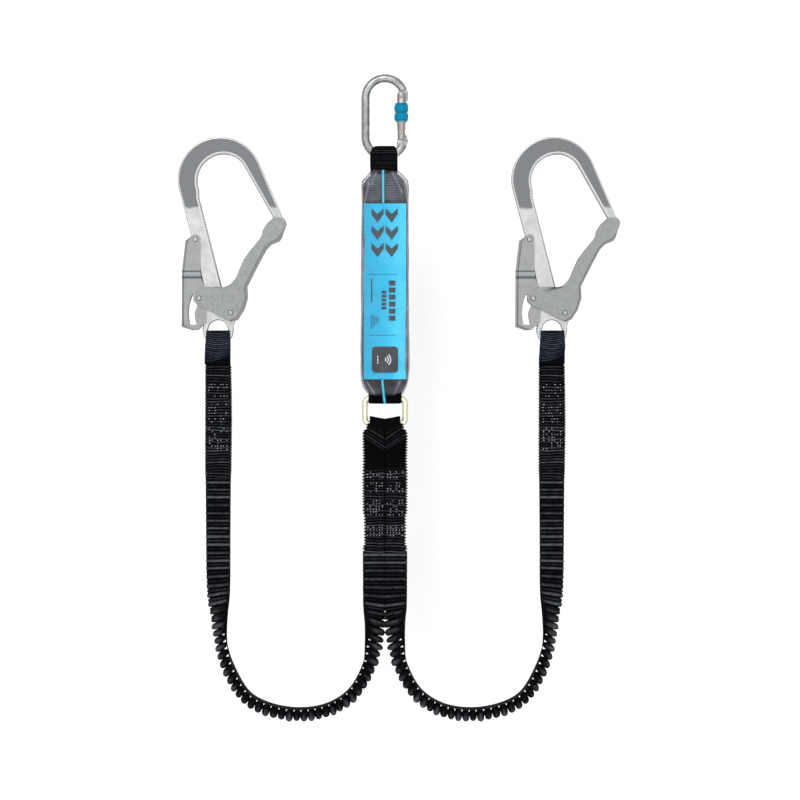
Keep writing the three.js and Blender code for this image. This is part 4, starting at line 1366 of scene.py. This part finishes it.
class LANYARD_OT_carabiner(bpy.types.Operator):
    """Forms the oval connector with its gate and knurled locking sleeve"""

    bl_idname = "lanyard.carabiner"
    bl_label = "Oval connector"

    def execute(self, context):
        low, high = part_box("carabiner_body")
        bend = 24.35
        top_y, bottom_y = high.y / MM - BAR - bend, low.y / MM + BAR + bend
        bm = bmesh.new()
        place = wire_start(bend * MM, 0)
        bmesh.ops.create_circle(bm, segments=28, radius=BAR * MM, matrix=place)
        start = Matrix.Rotation(math.radians(22), 4, "Z")
        bmesh.ops.transform(bm, matrix=start, verts=bm.verts)
        bmesh.ops.translate(bm, vec=(0, top_y * MM, 0), verts=bm.verts)
        loop = bent(bm, bm.edges[:], (0, top_y * MM, 0), 158, 32)
        loop = drawn(bm, loop, (0, (bottom_y - top_y) * MM, 0))
        bent(bm, loop, (0, bottom_y * MM, 0), 156, 32)
        bmesh.ops.holes_fill(bm, edges=[e for e in bm.edges if e.is_boundary], sides=0)
        bmesh.ops.translate(bm, vec=(0, 0, MID_Z), verts=bm.verts)
        outward(bm)
        # The nose, the catch under the gate and its boss: outline, half thickness, edge.
        for outline, half, edge in (
            ([(16.5, 242.5), (16.5, 238), (17.6, 233.2), (22.6, 232.4), (22.6, 228.5),
              (19, 228.4), (19, 225.4), (26, 225.4), (28.6, 228), (28.9, 238), (26, 244)], 2.2, 0.5),
            ([(15.2, 178.6), (15.2, 180), (17.4, 183), (17.9, 187), (20.4, 188.2),
              (24.6, 187.2), (27.5, 183.5), (28.4, 178)], 2.2, 0.5),
            ([(14.6, 178.2), (14.6, 173.5), (18, 169), (26, 171), (29.4, 178.2)], 5, 1.2),
        ):
            part = bmesh.new()
            trace(part, outline)
            merge(bm, plate(part, MID - half, MID + half, edge))
        piece(bm, "carabiner_bar", "satin_steel", "carabiner", "carabiner_body", 40)
        name = "carabiner_gate"
        piece(copied(name, 0.35), f"{name}_tube", "stainless_tube", name, name, 35)
        for name, body in (("hinge", "carabiner"), ("latch", "carabiner_gate")):
            centre, half = centre_of(f"carabiner_{name}_pin")
            r, h = half.x, half.z
            profile = [
                (0, -h), (r, -h), (r, h - 0.4), (r - 0.3, h), (0.5, h - 0.15), (0, h - 0.3)
            ]
            stud, replaced = turned(profile, centre * MM), f"carabiner_{name}_pin"
            piece(stud, f"carabiner_{name}_stud", "bright_steel", body, replaced, 35)
        self.sleeve(context.scene.lanyard_metal)
        rewired("carabiner_spring")
        return {"FINISHED"}

    def sleeve(self, metal):
        centre, half = centre_of("carabiner_lock_sleeve")
        size = 2 * half.y
        # Each of the two barrels: share of its length and radius.
        barrel = [
            (0, 7.3), (0.1, 8.4), (0.28, 9), (0.5, 9.1), (0.72, 9), (0.9, 8.4), (1, 7.3)
        ]
        profile = [(5.8, 0), (7.7, 0), (7.8, 0.7)]
        for start in (0.9, 11.7):
            for t in np.linspace(0, 1, 21):
                r = np.interp(t, *zip(*barrel))
                profile.append((float(r), start + 10.2 * float(t)))
        profile += [(7.8, size - 0.8), (7.7, size), (5.8, size), (5.8, 0)]
        profile = [(r, h - size / 2) for r, h in profile]
        bm = turned(profile, (0, 0, 0), True, 96)
        # The crest values paint light on the sleeve: painted highlights on the knurl's crests and
        # rims, painted shade in its cuts, and a fixed 0.4 in the bore.
        crest = bm.verts.layers.float.new("crest")
        for v in bm.verts:
            r = math.hypot(v.co.x, v.co.z) / MM
            if r < 7.6:
                v[crest] = 0.4
                continue
            angle = math.atan2(v.co.x, v.co.z)
            along = v.co.y / MM
            slant = 0.95 * along
            cut = abs(math.sin(8 * angle + slant) * math.sin(8 * angle - slant))
            rim = 1.0 if abs(along) > size / 2 - 1 else 0.0
            v[crest] = max(rim, 0.15 + 0.85 * cut) if r > 7.9 else max(rim, 0.1)
            if r > 7.95:
                scale = 1 - metal.knurl * (1 - cut) / (r * MM)
                v.co.x, v.co.z = v.co.x * scale, v.co.z * scale
        bmesh.ops.translate(bm, vec=centre * MM, verts=bm.verts)
        name, replaced = "carabiner_knurled_sleeve", "carabiner_lock_sleeve"
        piece(bm, name, "blue_anodised", "lock_sleeve", replaced, 50)


class LANYARD_OT_ring(bpy.types.Operator):
    """Bends the plated wire ring between the absorber and the legs"""

    bl_idname = "lanyard.ring"
    bl_label = "Ring"

    def execute(self, context):
        low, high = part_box("leg_ring")
        wire, corner = (high.z - low.z) / 2, 6 * MM
        x, y = (high.x - low.x) / 2 - wire - corner, (high.y - low.y) / 2 - wire - corner
        bm = bmesh.new()
        place = wire_start(x + corner, -y)
        bmesh.ops.create_circle(bm, segments=24, radius=wire, matrix=place)
        loop = bm.edges[:]
        for along, corner_at in (
            ((0, 2 * y, 0), (x, y, 0)), ((-2 * x, 0, 0), (-x, y, 0)),
            ((0, -2 * y, 0), (-x, -y, 0)), ((2 * x, 0, 0), (x, -y, 0)),
        ):
            loop = bent(bm, drawn(bm, loop, along), corner_at, 90, 10)
        outward(bm)
        bmesh.ops.translate(bm, vec=(low + high) / 2, verts=bm.verts)
        piece(bm, "leg_wire_ring", "yellow_zinc", "ring", "leg_ring")
        return {"FINISHED"}


# The centre of a hook's eye from the lowest corner of its body's box, in mm.
EYE = Vector((50.6, 19.3, 0))


class LANYARD_OT_hooks(bpy.types.Operator):
    """Makes both scaffold hooks: forged body, folded gate, safety lever and rivets"""

    bl_idname = "lanyard.hooks"
    bl_label = "Scaffold hooks"

    def execute(self, context):
        metal = context.scene.lanyard_metal
        for hand, _ in HANDS:
            name = f"{hand}_hook"
            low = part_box(f"{name}_body")[0] / MM
            self.forged(name, Vector((low.x, low.y, MID)) + EYE, metal)
            for part, bevel, look, made in (
                ("gate", 0.4, "pressed_steel", "folded_gate"),
                ("lever", 0.3, "creased_steel", "safety_lever"),
            ):
                sheet = copied(f"{name}_{part}", bevel, metal.fold / MM)
                piece(
                    sheet, f"{name}_{made}", look, f"{hand}_{part}", f"{name}_{part}", 40,
                    True,
                )
                rewired(f"{name}_{part}_spring")
            for part, body in (("gate", "hook"), ("lock", "gate"), ("lever", "hook")):
                self.rivet(f"{name}_{part}_rivet", f"{hand}_{body}")
        return {"FINISHED"}

    def forged(self, name, eye, metal):
        bm = bmesh.new()
        trace(bm, [
            (79.6, 143.5), (2.5, 188.5, 53.1, 23.7, 194), (-33.6, 117.7), (-21.5, 68),
            (-19.97, 61), (-18.9, 54), (-18.2, 47), (-18, 40), (-19, 6),
            (0, 0, 19.3, 165, 372), (22, 14), (15.9, 21.5, 8.6, -45, 95), (11.9, 32.4),
            (9.2, 36.5), (7.1, 42.4), (5.6, 50), (-23.6, 166), (7.2, 186.6, 32.9, 200, 90),
            (7.2, 190.7, 28.8, 90, 30), (72.4, 133.8), (75.2, 131), (79.3, 129.4), (81.2, 133),
        ])
        bmesh.ops.remove_doubles(bm, verts=bm.verts, dist=2e-4)
        bmesh.ops.create_circle(bm, segments=56, radius=12.5 * MM, cap_ends=False)
        plate(bm, -5, 5)
        opening = Vector((12, 140, 0)) * MM

        def rims(inside):
            found = []
            for edge in bm.edges:
                a, b = edge.verts
                if abs(a.co.z - b.co.z) > 1e-7 or edge.calc_face_angle(0) < 0.8:
                    continue
                wall = min(edge.link_faces, key=lambda f: abs(f.normal.z))
                spot = (a.co + b.co) / 2
                inner = spot.y > 50 * MM and wall.normal.dot(opening - spot) > 0
                if inner == inside:
                    found.append(edge)
            return found

        for inside, width in ((True, metal.chamfer), (False, metal.edge)):
            settings = {"offset": width, "segments": 3, "clamp_overlap": inside}
            bmesh.ops.bevel(bm, geom=rims(inside), **settings, **BEVEL)
        bmesh.ops.translate(bm, vec=eye * MM, verts=bm.verts)
        bm.normal_update()
        for face in bm.faces:
            face.material_index = 0 if abs(face.normal.z) > 0.99 else 1
        piece(
            bm, f"{name}_forging", ["blasted_steel", "ground_steel"], name, f"{name}_body", 40,
            True,
        )

    def rivet(self, name, body):
        centre, half = centre_of(name)
        h = half.z - 1.3
        head = [
            (0, h + 0.75), (0.7, h + 0.8), (1.1, h + 1.2), (1.5, h + 1.35), (2.2, h + 1.15),
            (2.9, h + 0.65), (3.3, h + 0.05), (3.3, h), (2.2, h),
        ]
        profile = head + [(r, -z) for r, z in reversed(head)]
        bm = turned(profile, centre * MM, steps=36)
        piece(bm, f"{name}_peened", "bright_steel", body, name, 50)


# ---- panel and registration -----------------------------------------------------

OPERATORS = (
    LANYARD_OT_stage,
    LANYARD_OT_legs,
    LANYARD_OT_sewn,
    LANYARD_OT_absorber,
    LANYARD_OT_carabiner,
    LANYARD_OT_ring,
    LANYARD_OT_hooks,
)
GROUPS = {
    "lanyard_studio": LanyardStudio,
    "lanyard_webbing": LanyardWebbing,
    "lanyard_pack": LanyardPack,
    "lanyard_metal": LanyardMetal,
}


class LANYARD_PT_pieces(bpy.types.Panel):
    """Lists the pieces of the lanyard and their settings"""

    bl_idname = "LANYARD_PT_pieces"
    bl_label = "Lanyard"
    bl_space_type = "VIEW_3D"
    bl_region_type = "UI"
    bl_category = "Lanyard"

    def draw(self, context):
        for operator in OPERATORS:
            self.layout.operator(operator.bl_idname)
        for name, group in GROUPS.items():
            for setting in group.__annotations__:
                self.layout.prop(getattr(context.scene, name), setting)


def register():
    for made in (*GROUPS.values(), *OPERATORS, LANYARD_PT_pieces):
        bpy.utils.register_class(made)
    for name, group in GROUPS.items():
        setattr(bpy.types.Scene, name, bpy.props.PointerProperty(type=group))


def unregister():
    for name in GROUPS:
        delattr(bpy.types.Scene, name)
    for made in (LANYARD_PT_pieces, *reversed(OPERATORS), *GROUPS.values()):
        bpy.utils.unregister_class(made)


def main():
    register()
    for operator in OPERATORS:
        group, call = operator.bl_idname.split(".")
        getattr(getattr(bpy.ops, group), call)()


if __name__ == "__main__":
    main()
